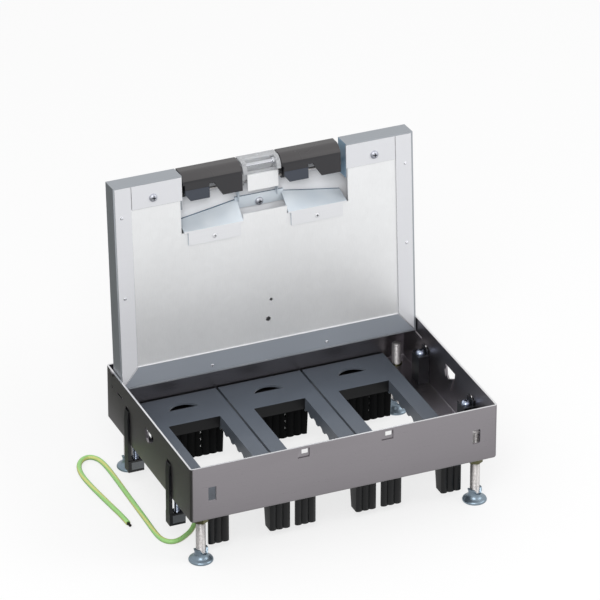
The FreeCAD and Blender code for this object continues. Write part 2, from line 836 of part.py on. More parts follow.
def module_support(centre):
    """A moulded support: a framed plate that rests on the tray's end flanges, and its skirts."""
    half = support_width / 2
    end = support_end
    plate = block(centre - half, centre + half, -end, end, support_under, support_top)
    outer = block(centre - half, centre + half, -end, end, flange_z, support_under)
    inner = block(centre - half + support_wall, centre + half - support_wall,
                  -end + support_wall, end - support_wall, flange_z - past, support_under)
    clip_y = -half_l + end_flange + clip_gap
    clip = block(centre - clip_half, centre + clip_half, clip_y, clip_y + clip_thickness,
                 support_top - clip_drop, support_under)
    pieces = [plate, without(outer, [inner]), clip, skirt_web(centre), back_skirt(centre)]
    pieces += module_collar(centre)
    for side in (-1, 1):
        pieces.append(front_skirt(centre, side))
        x0, x1 = sorted((centre + side * back_skirt_half - side * support_wall, centre + side * half))
        pieces.append(block(x0, x1, back_skirt_y, back_skirt_y + support_wall, flange_z, support_under))
    opening = block(centre - module_width / 2, centre + module_width / 2, -module_front, module_back,
                    support_under - past, support_top + past)
    return without(joined(pieces), [opening, cable_cutout(centre)])


# Floor clamps, one at each slot
def clamp_tower(side, end):
    """The moulded guide inside the tray: a post with the screw's bore and a hood behind its head."""
    y = end * clamp_y
    inner = inner_w - tower_depth
    bevel = tray_bend - tray_sheet
    profile = [(side * inner, flange_z), (side * (inner_w - bevel), flange_z),
               (side * inner_w, flange_z + bevel), (side * inner_w, head_z), (side * inner, head_z)]
    post = plate_y(profile, y - tower_length / 2, y + tower_length / 2)
    hood_half = tower_length / 2 - past
    hood = side_block(side, inner_w - hood_sheet, inner_w, y - hood_half, y + hood_half,
                      head_z, head_z + hood_height)
    bore = rod_z(side * clamp_x, y, flange_z - past, head_z + past, screw_d + 2 * running_gap)
    recess = rod_z(side * clamp_x, y, head_z, head_z + hood_height + past, screw_head_d + hood_recess)
    return without(joined([post, hood]), [bore, recess])


def clamp_screw(side, end):
    """A pan-head screw that stands on the tower and reaches down through the claw's nut."""
    x = side * clamp_x
    y = end * clamp_y
    seat = head_z + running_gap
    shank = rod_z(x, y, head_z - screw_length, seat, screw_d)
    head = Part.makeCone(screw_head_d / 2, screw_head_d * screw_head_crown / 2, screw_head_h, V(x, y, seat))
    return joined([shank, head])


def clamp_claw(side, end):
    """The claw: a rib that slides in the wall's slot, and a block under the tray that holds a nut."""
    y = end * clamp_y
    wall = half_w + claw_gap
    outer = half_w + claw_reach
    top = rim_z - claw_top_drop
    rib_foot = claw_foot_z + claw_rib_foot
    block_top = claw_foot_z + claw_block_h
    y0 = y - claw_width / 2
    y1 = y + claw_width / 2
    rib = plate_y([(side * wall, rib_foot), (side * outer, rib_foot), (side * outer, top - claw_top_bevel),
                   (side * (wall + outer) / 2, top), (side * wall, top)], y0, y1)
    web = side_block(side, inner_w + claw_gap, wall, y0, y1, rib_foot,
                     rim_z - clamp_slot_drop - claw_travel - claw_spare)
    inner = outer - claw_block_w
    block_y0 = y - claw_block_len / 2
    block_y1 = y + claw_block_len / 2
    body = side_block(side, inner, outer, block_y0, block_y1, claw_foot_z, block_top)
    channel = side_block(side, inner - past, clamp_x + nut_width / 2, block_y0 - past, block_y1 + past,
                         claw_foot_z + claw_floor, claw_foot_z + claw_floor + nut_height)
    gusset_x = clamp_x + screw_d / 2 + claw_gusset_start
    gusset = plate_y([(side * gusset_x, block_top), (side * wall, block_top),
                      (side * wall, block_top + claw_gusset)], y0, y1)
    bore = rod_z(side * clamp_x, y, claw_foot_z - past, stand_height, screw_d + screw_clearance)
    return without(joined([rib, web, body, gusset]), [channel, bore])


def clamp_nut(side, end):
    """The square steel nut that lies in the claw's channel."""
    y = end * clamp_y
    foot = claw_foot_z + claw_floor
    body = side_block(side, clamp_x - nut_width / 2, clamp_x + nut_width / 2, y - claw_block_len / 2,
                      y + claw_block_len / 2, foot, foot + nut_height)
    bore = rod_z(side * clamp_x, y, foot - past, foot + nut_height + past, screw_d + 2 * running_gap)
    return body.cut(bore)


# Levelling legs
def leg_boss(side, end):
    """A hexagonal bush under the side flange, with a collar riveted over inside the tray."""
    x = side * leg_x
    y = end * leg_y
    hexed = hexagon(x, y, stand_height - boss_height, stand_height, boss_flats)
    collar = rod_z(x, y, stand_height, stand_height + boss_collar_h, boss_collar_d)
    bore = rod_z(x, y, stand_height - boss_height - past, stand_height + boss_collar_h + past,
                 rod_d + 2 * running_gap)
    return without(joined([hexed, collar]), [bore])


def leg_rod(side, end):
    """The threaded rod, chamfered at its top, that stands in the foot's socket."""
    top = rim_z - rod_top_drop
    rod = rod_z(side * leg_x, end * leg_y, rod_foot_z, top, rod_d)
    rims = [edge for edge in rod.Edges if edge.BoundBox.ZMin > top - 0.01]
    return rod.makeChamfer(rod_chamfer, rims)


def foot_pad(side, end):
    """A turned foot: a flared disc, a waist, and two ears that stand up beside the rod."""
    bore = rod_d / 2 + running_gap
    socket = rod_foot_z - running_gap
    profile = [V(0, 0, 0), V(foot_base_d / 2, 0, 0), V(foot_d / 2, 0, foot_rim_z),
               V(foot_shoulder_d / 2, 0, foot_shoulder_z), V(foot_waist_d / 2, 0, foot_waist_z),
               V(foot_ear_d / 2, 0, foot_height), V(bore, 0, foot_height), V(bore, 0, socket),
               V(0, 0, socket)]
    pad = Part.Face(Part.makePolygon(profile + profile[:1])).revolve(V(0, 0, 0), V(0, 0, 1), 360)
    pad = pad.cut(block(-bore, bore, -foot_d, foot_d, foot_slot_z, foot_height + past))
    pad.rotate(V(0, 0, 0), V(0, 0, 1), foot_turn_deg)
    pad.translate(V(side * leg_x, end * leg_y, 0))
    return pad


# Earth terminal and wire
def earth_stud():
    foot = stand_height - lug_sheet - earth_nut_h - earth_stud_below
    stud = rod_z(earth_x, earth_y, foot, flange_z + earth_stud_top, earth_stud_d)
    head = hexagon(earth_x, earth_y, flange_z, flange_z + earth_head_h, earth_nut_flats)
    return joined([stud, head])


def earth_nut():
    top = stand_height - lug_sheet
    nut = hexagon(earth_x, earth_y, top - earth_nut_h, top, earth_nut_flats)
    return nut.cut(rod_z(earth_x, earth_y, top - earth_nut_h - past, top + past,
                         earth_stud_d + 2 * running_gap))


def earth_lug():
    """The ring terminal: a ring on the stud, a neck bent down at its end, and a crimped barrel."""
    z0 = stand_height - lug_sheet
    half = lug_barrel_d / 2
    ring = rod_z(earth_x, earth_y, z0, stand_height, lug_ring_d)
    neck = block(earth_x, wire_x, earth_y - half, earth_y + half, z0, stand_height)
    barrel = rod_z(wire_x, earth_y, wire_top_z, stand_height, lug_barrel_d)
    hole = rod_z(earth_x, earth_y, z0 - past, stand_height + past, earth_stud_d + 2 * running_gap)
    return without(joined([ring, neck, barrel]), [hole])


def wire_path():
    """Straight runs joined by arcs, each arc as large as its two runs allow."""
    points = [V(*point) for point in wire_route]
    edges = []
    start = points[0]
    for before, corner, after in zip(points, points[1:], points[2:]):
        arrive = corner - before
        leave = after - corner
        turn = arrive.getAngle(leave)
        back = 0.45 * min(arrive.Length, leave.Length)
        arc_in = corner - arrive.normalize() * back
        arc_out = corner + leave.normalize() * back
        radius = back / math.tan(turn / 2)
        print("wire bend", [round(value, 1) for value in corner], "radius", round(radius, 1))
        chord = (arc_in + arc_out) * 0.5
        sagitta = radius * (1 - math.cos(turn / 2))
        middle = chord + (corner - chord).normalize() * sagitta
        edges.append(Part.makeLine(start, arc_in))
        edges.append(Part.Arc(arc_in, middle, arc_out).toShape())
        start = arc_out
    edges.append(Part.makeLine(start, points[-1]))
    return Part.Wire(edges)


def earth_wire():
    path = wire_path()
    section = Part.Wire([Part.makeCircle(wire_d / 2, V(*wire_route[0]), path.Edges[0].tangentAt(0))])
    tube = path.makePipeShell([section], True, False)
    expected = math.pi * (wire_d / 2) ** 2 * path.Length
    print("wire length", round(path.Length, 1), "volume", round(tube.Volume), "expected", round(expected))
    return tube


def earth_wire_tip():
    """The bare end of the wire, a short stub of twisted strands."""
    last = V(*wire_route[-1])
    heading = (last - V(*wire_route[-2])).normalize()
    return Part.makeCylinder(tip_d / 2, tip_length, last, heading)


def build():
    nodes = {
        "frame_tray": frame_tray(),
        "hinge_pin_left": hinge_pin(-1),
        "hinge_pin_right": hinge_pin(1),
        "lid_cover": opened(lid_cover()),
        "lid_rim": opened(screw_holes(lid_rim())),
        "lid_panel": opened(screw_holes(lid_panel())),
        "lid_bracket": opened(screw_holes(lid_bracket())),
        "flap_axle": opened(flap_axle()),
        "cable_flap_left": opened(cable_flap(flap_left_x)),
        "cable_flap_right": opened(cable_flap(flap_right_x)),
        "finger_pull": opened(finger_pull()),
        "grip_rod": opened(grip_rod()),
        "pull_plate": opened(pull_plate()),
        "lid_screws": opened(Part.makeCompound(lid_screws())),
        "lid_rivets": opened(Part.makeCompound(lid_rivets())),
        "module_support_left": module_support(-support_pitch),
        "module_support_centre": module_support(0),
        "module_support_right": module_support(support_pitch),
        "earth_stud": earth_stud(),
        "earth_nut": earth_nut(),
        "earth_lug": earth_lug(),
        "earth_wire": earth_wire(),
        "earth_wire_tip": earth_wire_tip(),
    }
    corners = {"front_left": (-1, -1), "front_right": (1, -1), "rear_left": (-1, 1), "rear_right": (1, 1)}
    bosses = []
    for place, (side, end) in corners.items():
        bosses.append(leg_boss(side, end))
        nodes["clamp_tower_" + place] = clamp_tower(side, end)
        nodes["clamp_screw_" + place] = clamp_screw(side, end)
        nodes["clamp_claw_" + place] = clamp_claw(side, end)
        nodes["clamp_nut_" + place] = clamp_nut(side, end)
        nodes["leg_rod_" + place] = leg_rod(side, end)
        nodes["foot_pad_" + place] = foot_pad(side, end)
    nodes["leg_bosses"] = Part.makeCompound(bosses)
    return nodes


os.makedirs("parts", exist_ok=True)
for name, shape in build().items():
    shape.exportStep("parts/" + name + ".step")
    box = shape.BoundBox
    print(name, len(shape.Solids), "valid" if shape.isValid() else "INVALID", round(shape.Volume),
          [round(value, 2) for value in (box.XMin, box.XMax, box.YMin, box.YMax, box.ZMin, box.ZMax)])
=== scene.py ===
# Floor socket box with its lid open: a folded stainless tray on levelling legs, moulded module
# supports, floor clamps and a protective earth wire. Sizes are in millimetres, in the packed
# frame's axes.
import json
import math

import bmesh
import bpy
from mathutils import Matrix, Vector


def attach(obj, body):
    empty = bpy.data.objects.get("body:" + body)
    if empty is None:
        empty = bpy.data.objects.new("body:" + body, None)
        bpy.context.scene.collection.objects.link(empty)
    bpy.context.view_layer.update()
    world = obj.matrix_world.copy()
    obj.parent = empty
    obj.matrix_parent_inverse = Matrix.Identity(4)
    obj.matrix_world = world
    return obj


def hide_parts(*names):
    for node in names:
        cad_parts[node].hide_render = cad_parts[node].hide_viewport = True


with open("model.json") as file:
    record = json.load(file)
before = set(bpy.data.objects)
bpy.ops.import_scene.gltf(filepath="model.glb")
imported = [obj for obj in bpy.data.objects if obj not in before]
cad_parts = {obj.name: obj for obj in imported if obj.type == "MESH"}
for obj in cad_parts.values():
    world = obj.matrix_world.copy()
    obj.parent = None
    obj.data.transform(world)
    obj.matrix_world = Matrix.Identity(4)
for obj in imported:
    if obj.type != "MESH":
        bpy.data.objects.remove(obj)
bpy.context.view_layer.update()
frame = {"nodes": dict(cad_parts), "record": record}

MM = 0.001

# Camera, at the photograph's viewing angle. The lens is long and the camera stands 4.2 m off.
# Its turn and place are those at which the tray's corners fall where the photograph has them.
rim_z = 92.0
camera_right = Vector((0.9212, -0.3890, 0.0))
camera_up = Vector((0.1877, 0.4445, 0.8758))
camera_back = Vector((-0.3407, -0.8069, 0.4825))
camera_shift_right = -0.69
camera_shift_up = 67.9
camera_distance = 4239.6
camera_reach = 50000.0
sensor_width = 36.0
lens_length = 316.97


def link(name, data):
    made = bpy.data.objects.new(name, data)
    bpy.context.scene.collection.objects.link(made)
    return made


camera_data = bpy.data.cameras.new("camera")
camera_data.sensor_width = sensor_width
camera_data.lens = lens_length
camera_data.clip_end = camera_reach * MM
camera = link("camera", camera_data)
turn = Matrix((camera_right, camera_up, camera_back)).transposed().to_4x4()
place = (camera_right * camera_shift_right + camera_up * camera_shift_up
         + camera_back * camera_distance + Vector((0, 0, rim_z))) * MM
camera.matrix_world = Matrix.Translation(place) @ turn
bpy.context.scene.camera = camera
bpy.context.scene.view_settings.view_transform = "Standard"

# Floor, sky and lamps. The floor is a white sweep that keeps a faint shadow. To light that comes
# off it the floor is grey, and in reflections it dims near the box and to its left, as the cards
# of the studio there did, so that undersides and the left wall stay dark.
floor_reach = 6000.0
floor_white = "f6f6f6"
floor_grey = "7c7c7c"
# The dim is tinted olive, which paints an olive reflection on the left wall.
floor_dim = "5b5e58"
far_strength = 1.12
near_strength = 0.72
# This share of the floor glows evenly to the eye, and the rest takes the shadow.
unshaded_share = 0.72
glow_left_x = -120.0
dim_left_x = -170.0
near_front_y = -120.0
far_front_y = -290.0
sky_strength = 0.78
lamp_target = Vector((0, 0, 100))
# Each lamp has a name, a place, a size and a power in watts.
lamps = [("key", Vector((-900, -1600, 1700)), 1200.0, 22.0),
         ("fill", Vector((1500, -900, 1200)), 1000.0, 8.0)]


def linear(code):
    """A colour given as sRGB hex, turned to Blender's linear values."""
    values = []
    for start in (0, 2, 4):
        part = int(code[start:start + 2], 16) / 255
        values.append(part / 12.92 if part <= 0.04045 else ((part + 0.055) / 1.055) ** 2.4)
    return (*values, 1.0)


def feed(tree, node, inputs):
    """Fill a node's inputs, given by name or in their order. An input is a value, or a socket to
    link from, or a node whose first output is linked; a list links each of its members."""
    pairs = inputs.items() if isinstance(inputs, dict) else enumerate(inputs)
    for key, values in pairs:
        for value in values if isinstance(values, list) else [values]:
            if isinstance(value, bpy.types.Node):
                value = value.outputs[0]
            if isinstance(value, bpy.types.NodeSocket):
                tree.links.new(value, node.inputs[key])
            else:
                node.inputs[key].default_value = value


def add(tree, kind, settings=None, inputs=(), stops=()):
    """Add one node. Its settings are a dictionary, or the name of its operation; the stops of a
    colour ramp are places with sRGB hex colours."""
    made = tree.nodes.new(kind)
    if isinstance(settings, str):
        settings = {"operation": settings}
    for key, value in (settings or {}).items():
        setattr(made, key, value)
    feed(tree, made, inputs)
    if stops:
        elements = made.color_ramp.elements
        while len(elements) < len(stops):
            elements.new(0.5)
        for element, (place, code) in zip(elements, stops):
            element.position = place
            element.color = linear(code)
    return made


def finish_named(name):
    """A new material; returns it with its tree and its Principled shader."""
    made = bpy.data.materials.new(name)
    made.use_nodes = True
    return made, made.node_tree, made.node_tree.nodes["Principled BSDF"]


floor_mesh = bpy.data.meshes.new("floor")
floor_corners = [Vector((side * floor_reach, end * floor_reach, 0)) * MM
                 for side, end in ((-1, -1), (1, -1), (1, 1), (-1, 1))]
floor_mesh.from_pydata(floor_corners, [], [(0, 1, 2, 3)])
floor = link("floor", floor_mesh)
# Matt card: white to the eye, grey to the light it throws back, brighter away from the box.
matt_card, tree, shader = finish_named("matt_white_card")
tree.nodes.remove(shader)
card = add(tree, "ShaderNodeBsdfDiffuse", None, {"Color": linear(floor_white)})
grey_card = add(tree, "ShaderNodeBsdfDiffuse", None, {"Color": linear(floor_grey)})
glow = add(tree, "ShaderNodeEmission", None, {"Strength": 1.0})
far_glow = add(tree, "ShaderNodeEmission", None, {"Strength": far_strength})
near_glow = add(tree, "ShaderNodeEmission", None, {"Strength": near_strength})
dim = add(tree, "ShaderNodeEmission", None, {"Color": linear(floor_dim), "Strength": 1.0})
path = add(tree, "ShaderNodeLightPath")
spot = add(tree, "ShaderNodeTexCoord")
spot_split = add(tree, "ShaderNodeSeparateXYZ", None, [spot.outputs["Object"]])
left_of_box = add(tree, "ShaderNodeMapRange", None,
                  {"Value": spot_split.outputs["X"], "From Min": glow_left_x * MM,
                   "From Max": dim_left_x * MM})
before_box = add(tree, "ShaderNodeMapRange", None,
                 {"Value": spot_split.outputs["Y"], "From Min": near_front_y * MM,
                  "From Max": far_front_y * MM})
front_glow = add(tree, "ShaderNodeMixShader", None, [before_box, near_glow, far_glow])
left_glow = add(tree, "ShaderNodeMixShader", None, [left_of_box, front_glow, dim])
seen = add(tree, "ShaderNodeMixShader", None, [unshaded_share, card, glow])
lit = add(tree, "ShaderNodeMixShader", None, [path.outputs["Is Camera Ray"], grey_card, seen])
mirrored = add(tree, "ShaderNodeMixShader", None, [path.outputs["Is Glossy Ray"], lit, left_glow])
through = add(tree, "ShaderNodeMixShader", None,
              [path.outputs["Is Transmission Ray"], mirrored, glow])
feed(tree, tree.nodes["Material Output"], {"Surface": through})
floor.data.materials.append(matt_card)

world = bpy.data.worlds.new("studio")
bpy.context.scene.world = world
world.use_nodes = True
sky = world.node_tree
path = add(sky, "ShaderNodeLightPath")
strength = add(sky, "ShaderNodeMapRange", None,
               {"Value": path.outputs["Is Camera Ray"], "To Min": sky_strength, "To Max": 1.0})
feed(sky, sky.nodes["Background"], {"Color": linear("ffffff"), "Strength": strength})

for name, place, size, power in lamps:
    lamp_data = bpy.data.lights.new(name, "AREA")
    lamp_data.size = size * MM
    lamp_data.energy = power
    lamp = link(name, lamp_data)
    lamp.location = place * MM
    lamp.rotation_euler = (lamp_target - place).to_track_quat("-Z", "Y").to_euler()

# Frame tray: one sheet of 1.5 mm stainless steel, cut, lanced and folded up into a box whose
# bottom is left as flanges. The feet, towers and supports all hang on it.
merge_within = 0.002
flat_within = math.radians(0.4)
# A face lies at a level if its middle is within level_fit of it, and it faces a way if its
# normal's share that way passes square_on.
level_fit = 0.1
square_on = 0.9
# Rolling lines lie about 0.4 mm apart, drawn a little coarser than real so that they show.
rolling_line = 0.4
rolling_run = 33.3
sheet_cloud = 71.4
# Zinc crystals on hot-dipped sheet are 4 to 8 mm across.
zinc_crystal = 6.25
bodies = frame["record"]["behaviour"]["bodies"]


def carried(piece, node):
    """Let a piece stand for a CAD node, on that node's body."""
    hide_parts(node)
    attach(piece, next(name for name, nodes in bodies.items() if node in nodes))


def broken_edges(piece, width, sharp, finish_index=-1):
    """Round a piece's edges by width millimetres; finish_index gives the round its own finish."""
    rounding = piece.modifiers.new("broken edges", "BEVEL")
    rounding.width = width * MM
    rounding.segments = 2
    rounding.limit_method = "ANGLE"
    rounding.angle_limit = math.radians(sharp)
    rounding.harden_normals = True
    rounding.material = finish_index


def dressed(node, piece_name, finish, edge, sharp=28.0, others=(), where=Matrix()):
    """A copy of a CAD node with its triangles merged and its edges broken by edge millimetres.
    Each of others is a finish and a test of a face's middle and normal, as placed by where."""
    mesh = frame["nodes"][node].data.copy()
    merged = bmesh.new()
    merged.from_mesh(mesh)
    bmesh.ops.remove_doubles(merged, verts=merged.verts, dist=merge_within * MM)
    bmesh.ops.dissolve_limit(merged, angle_limit=flat_within, verts=merged.verts,
                             edges=merged.edges)
    merged.to_mesh(mesh)
    merged.free()
    mesh.materials.clear()
    mesh.materials.append(finish)
    for other, _ in others:
        mesh.materials.append(other)
    for polygon in mesh.polygons:
        polygon.use_smooth = True
        middle = where @ polygon.center / MM
        normal = where.to_3x3() @ polygon.normal
        for index, (_, test) in enumerate(others):
            if test(middle, normal):
                polygon.material_index = index + 1
    mesh.set_sharp_from_angle(angle=math.radians(sharp))
    piece = link(piece_name, mesh)
    broken_edges(piece, edge, sharp)
    carried(piece, node)


def per(size):
    """The scale of a pattern on Object coordinates whose features are size millimetres wide."""
    return 1 / (size * MM)


def noise_to(low, high, noise):
    """Map Range inputs that spread a noise, which keeps to 0.3 to 0.7, over low to high."""
    return {"Value": noise, "From Min": 0.3, "From Max": 0.7, "To Min": low, "To Max": high}


def rolled_steel(name, code, roughness, grain_axis, grain=0.05, strength=0.05, metallic=1.0,
                 spangle=0.0):
    """Cold-rolled sheet: straight rolling grain, faint clouds, a slightly uneven gloss. With
    spangle, the crystals of a zinc coat show as flat patches of slightly different tone."""
    made, tree, shader = finish_named(name)
    at = add(tree, "ShaderNodeTexCoord").outputs["Object"]
    scale = [per(rolling_line)] * 3
    scale["XYZ".index(grain_axis)] = per(rolling_run)
    turned = add(tree, "ShaderNodeMapping", None, {"Vector": at, "Scale": tuple(scale)})
    lines = add(tree, "ShaderNodeTexNoise", None,
                {"Vector": turned, "Scale": 1.0, "Detail": 3.0, "Roughness": 0.6})
    clouds = add(tree, "ShaderNodeTexNoise", None,
                 {"Vector": at, "Scale": per(sheet_cloud), "Detail": 3.0})
    tone = add(tree, "ShaderNodeMapRange", None, noise_to(1.0 - grain, 1.0 + grain, clouds))
    streak = add(tree, "ShaderNodeMapRange", None, noise_to(1.0 - grain, 1.0 + grain, lines))
    both = add(tree, "ShaderNodeMath", "MULTIPLY", [tone, streak])
    if spangle:
        crystals = add(tree, "ShaderNodeTexVoronoi", None,
                       {"Vector": at, "Scale": per(zinc_crystal)})
        crystal = add(tree, "ShaderNodeMapRange", None,
                      {"Value": crystals.outputs["Color"], "To Min": 1.0 - spangle,
                       "To Max": 1.0 + spangle})
        both = add(tree, "ShaderNodeMath", "MULTIPLY", [both, crystal])
    shade = add(tree, "ShaderNodeVectorMath", "SCALE", {0: linear(code)[:3], "Scale": both})
    gloss = add(tree, "ShaderNodeMapRange", None, noise_to(roughness - 0.05, roughness + 0.05, lines))
    relief = add(tree, "ShaderNodeBump", None,
                 {"Height": lines, "Strength": strength, "Distance": 0.1 * MM})
    feed(tree, shader, {"Base Color": shade, "Metallic": metallic, "Roughness": gloss,
                        "Normal": relief})
    return made


# Cold-rolled stainless, satin: a warm mauve-grey sheet with fine level grain. Its sheared edges
# are painted near white as a highlight.
stainless = rolled_steel("cold_rolled_stainless_satin", "918d91", 0.32, "X", grain=0.012,
                         strength=0.01)
sheared_edge_highlight = rolled_steel("sheared_stainless_edge_painted_highlight", "f2f2f4", 0.22, "X", grain=0.02)


# The rim's top faces, the sheet's cut edge, take the painted highlight.
def on_rim_edge(middle, normal):
    return normal.z > square_on and middle.z > rim_z - level_fit


dressed("frame_tray", "tray_shell", stainless, 0.25, others=[(sheared_edge_highlight, on_rim_edge)])

# Hinge pins: turned stainless pins with a flat head, pressed in through the side walls. The lid
# turns on them.
for side in ("left", "right"):
    dressed("hinge_pin_" + side, "hinge_pin_head_" + side, stainless, 0.15)

# Module supports: three moulded frames in slate-grey plastic that stand on the tray's end
# flanges. Each has an opening for 45 mm modules, combed walls, and skirts that hang under it.
support_plate_foot = 49.0
comb_foot = 38.0
skirt_from_y = 46.5
rear_wall_from_y = 40.0
# The rear wall's outer faces point further to the rear than this.
outward = 0.3
# Spark-eroded grain is 0.3 mm across, which is just coarse enough to show here.
spark_pit = 0.303
plastic_cloud = 38.5


def moulded_plastic(name, code, roughness, texture=0.12, bump=0.25, specular=0.5, clear=0.0):
    """Injection-moulded plastic: spark-eroded texture, faint flow clouds, soft gloss."""
    made, tree, shader = finish_named(name)
    at = add(tree, "ShaderNodeTexCoord").outputs["Object"]
    pits = add(tree, "ShaderNodeTexNoise", None,
               {"Vector": at, "Scale": per(spark_pit), "Detail": 2.0})
    clouds = add(tree, "ShaderNodeTexNoise", None,
                 {"Vector": at, "Scale": per(plastic_cloud), "Detail": 3.0})
    tone = add(tree, "ShaderNodeMapRange", None, noise_to(1.0 - texture, 1.0 + texture, clouds))
    shade = add(tree, "ShaderNodeVectorMath", "SCALE", {0: linear(code)[:3], "Scale": tone})
    gloss = add(tree, "ShaderNodeMapRange", None, noise_to(roughness - 0.05, roughness + 0.06, clouds))
    relief = add(tree, "ShaderNodeBump", None,
                 {"Height": pits, "Strength": bump, "Distance": 0.05 * MM})
    feed(tree, shader, {"Base Color": shade, "Roughness": gloss, "IOR": 1.53, "Normal": relief,
                        "Specular IOR Level": specular, "Transmission Weight": clear})
    return made


def inside_rear_wall(middle, normal):
    return middle.y > rear_wall_from_y and normal.y < outward


# Faces under the plate and on the rear wall's inner side, which take the painted shade.
def in_shade(middle, normal):
    on_skirt = abs(middle.y) > skirt_from_y or middle.z < comb_foot
    return middle.z < support_plate_foot and (on_skirt or inside_rear_wall(middle, normal))


# Faces inside the rear skirt, which take the deeper painted shade.
def inside_rear_skirt(middle, normal):
    return middle.z < comb_foot and inside_rear_wall(middle, normal)


# ABS: satin slate on the plate. Under it and on the rear wall's inner side the same slate is
# painted near black as shade, and inside the rear skirt it is painted a duller black as deeper shade.
slate_plastic = moulded_plastic("moulded_abs_slate", "5f6670", 0.42, texture=0.05)
slate_painted_shade = moulded_plastic("moulded_abs_slate_painted_shade", "0c0d0f", 0.44, texture=0.08, specular=0.3)
slate_painted_deep_shade = moulded_plastic("moulded_abs_slate_painted_deep_shade", "060708", 0.6, texture=0.08, specular=0.06)
for place in ("left", "centre", "right"):
    dressed("module_support_" + place, "support_" + place, slate_plastic, 0.3,
            others=[(slate_painted_shade, in_shade), (slate_painted_deep_shade, inside_rear_skirt)])

# Floor clamps: a black moulded tower and claw at each slot, the claw drawn up by a steel screw
# that turns on the tower and runs through a square nut held in the claw. The screws have rolled
# threads and pan heads with a cross recess.
corners = {"front_left": (-1, -1), "front_right": (1, -1), "rear_left": (-1, 1), "rear_right": (1, 1)}
clamp_x = 125.4
clamp_y = 45.0
clamp_screw = {"Thread Diameter": 5.0, "Pitch": 0.8, "Foot": 19.0, "Top": 70.05,
               "Head Diameter": 8.3, "Head Height": 3.0}
clamp_screw_rows = 400
screw_sides = 20
head_sides = 40
head_rows = 7
dome_fullness = 0.9
# A slot of the recess is this long and wide, as shares of the head's diameter.
slot_long = 0.50
slot_wide = 0.13
# A flank would rise by this many depths in a pitch; the crest is flat where it passes one.
flank_rise = 2.7
# An end's chamfer is this many depths deep.
chamfer_depths = 1.4
passivation_drift = 16.67

# Nylon, satin black, and dull cut steel.
black_plastic = moulded_plastic("moulded_nylon_black", "141519", 0.32)
plain_steel = rolled_steel("cut_steel_plain", "75787b", 0.42, "Y")
for place in corners:
    dressed("clamp_tower_" + place, "tower_" + place, black_plastic, 0.3)
    dressed("clamp_claw_" + place, "claw_" + place, black_plastic, 0.35)
    dressed("clamp_nut_" + place, "nut_" + place, plain_steel, 0.2)


def shape_tree(name, sizes):
    """A Geometry Nodes tree with a named input for each size; returns it and the group input."""
    tree = bpy.data.node_groups.new(name, "GeometryNodeTree")
    tree.interface.new_socket("Geometry", in_out="INPUT", socket_type="NodeSocketGeometry")
    for size in sizes:
        tree.interface.new_socket(size, in_out="INPUT", socket_type="NodeSocketFloat")
    tree.interface.new_socket("Turn", in_out="INPUT", socket_type="NodeSocketVector")
    tree.interface.new_socket("Finish", in_out="INPUT", socket_type="NodeSocketMaterial")
    tree.interface.new_socket("Recess Painted Shade", in_out="INPUT", socket_type="NodeSocketMaterial")
    tree.interface.new_socket("Geometry", in_out="OUTPUT", socket_type="NodeSocketGeometry")
    return tree, tree.nodes.new("NodeGroupInput")


def close_tree(tree, given, shape, recessed=False):
    """End a tree: put the shape on each point, turned, realize it, and set its material. The
    recess of a recessed head keeps the painted shade that it was cut with."""
    turn = add(tree, "FunctionNodeEulerToRotation", None, [given.outputs["Turn"]])
    spread = add(tree, "GeometryNodeInstanceOnPoints", None,
                 {"Points": given.outputs["Geometry"], "Instance": shape, "Rotation": turn})
    real = add(tree, "GeometryNodeRealizeInstances", None, [spread])
    skin = True
    if recessed:
        recess = add(tree, "GeometryNodeMaterialSelection", None, [given.outputs["Recess Painted Shade"]])
        skin = add(tree, "FunctionNodeBooleanMath", "NOT", [recess])
    coated = add(tree, "GeometryNodeSetMaterial", None,
                 {"Geometry": real, "Selection": skin, "Material": given.outputs["Finish"]})
    add(tree, "NodeGroupOutput", None, {"Geometry": coated})


def grown(name, tree, places, sizes, finish, recess=None, turn=(0, 0, 0), sharp=40.0):
    """Run a tree on points in millimetres, and keep the result as a plain mesh piece."""
    seed = bpy.data.meshes.new(name)
    seed.from_pydata([Vector(place) * MM for place in places], [], [])
    holder = link(name + "_points", seed)
    grow = holder.modifiers.new("grow", "NODES")
    grow.node_group = tree
    given = {size: value * MM for size, value in sizes.items()}
    given |= {"Turn": turn, "Finish": finish, "Recess Painted Shade": recess}
    for item in tree.interface.items_tree:
        if item.in_out == "INPUT" and item.name in given:
            grow[item.identifier] = given[item.name]
    graph = bpy.context.evaluated_depsgraph_get()
    mesh = bpy.data.meshes.new_from_object(holder.evaluated_get(graph), depsgraph=graph)
    bpy.data.objects.remove(holder)
    if mesh.materials[0] is None:
        mesh.materials.pop(index=0)
    for polygon in mesh.polygons:
        polygon.use_smooth = True
    mesh.set_sharp_from_angle(angle=math.radians(sharp))
    return link(name, mesh)


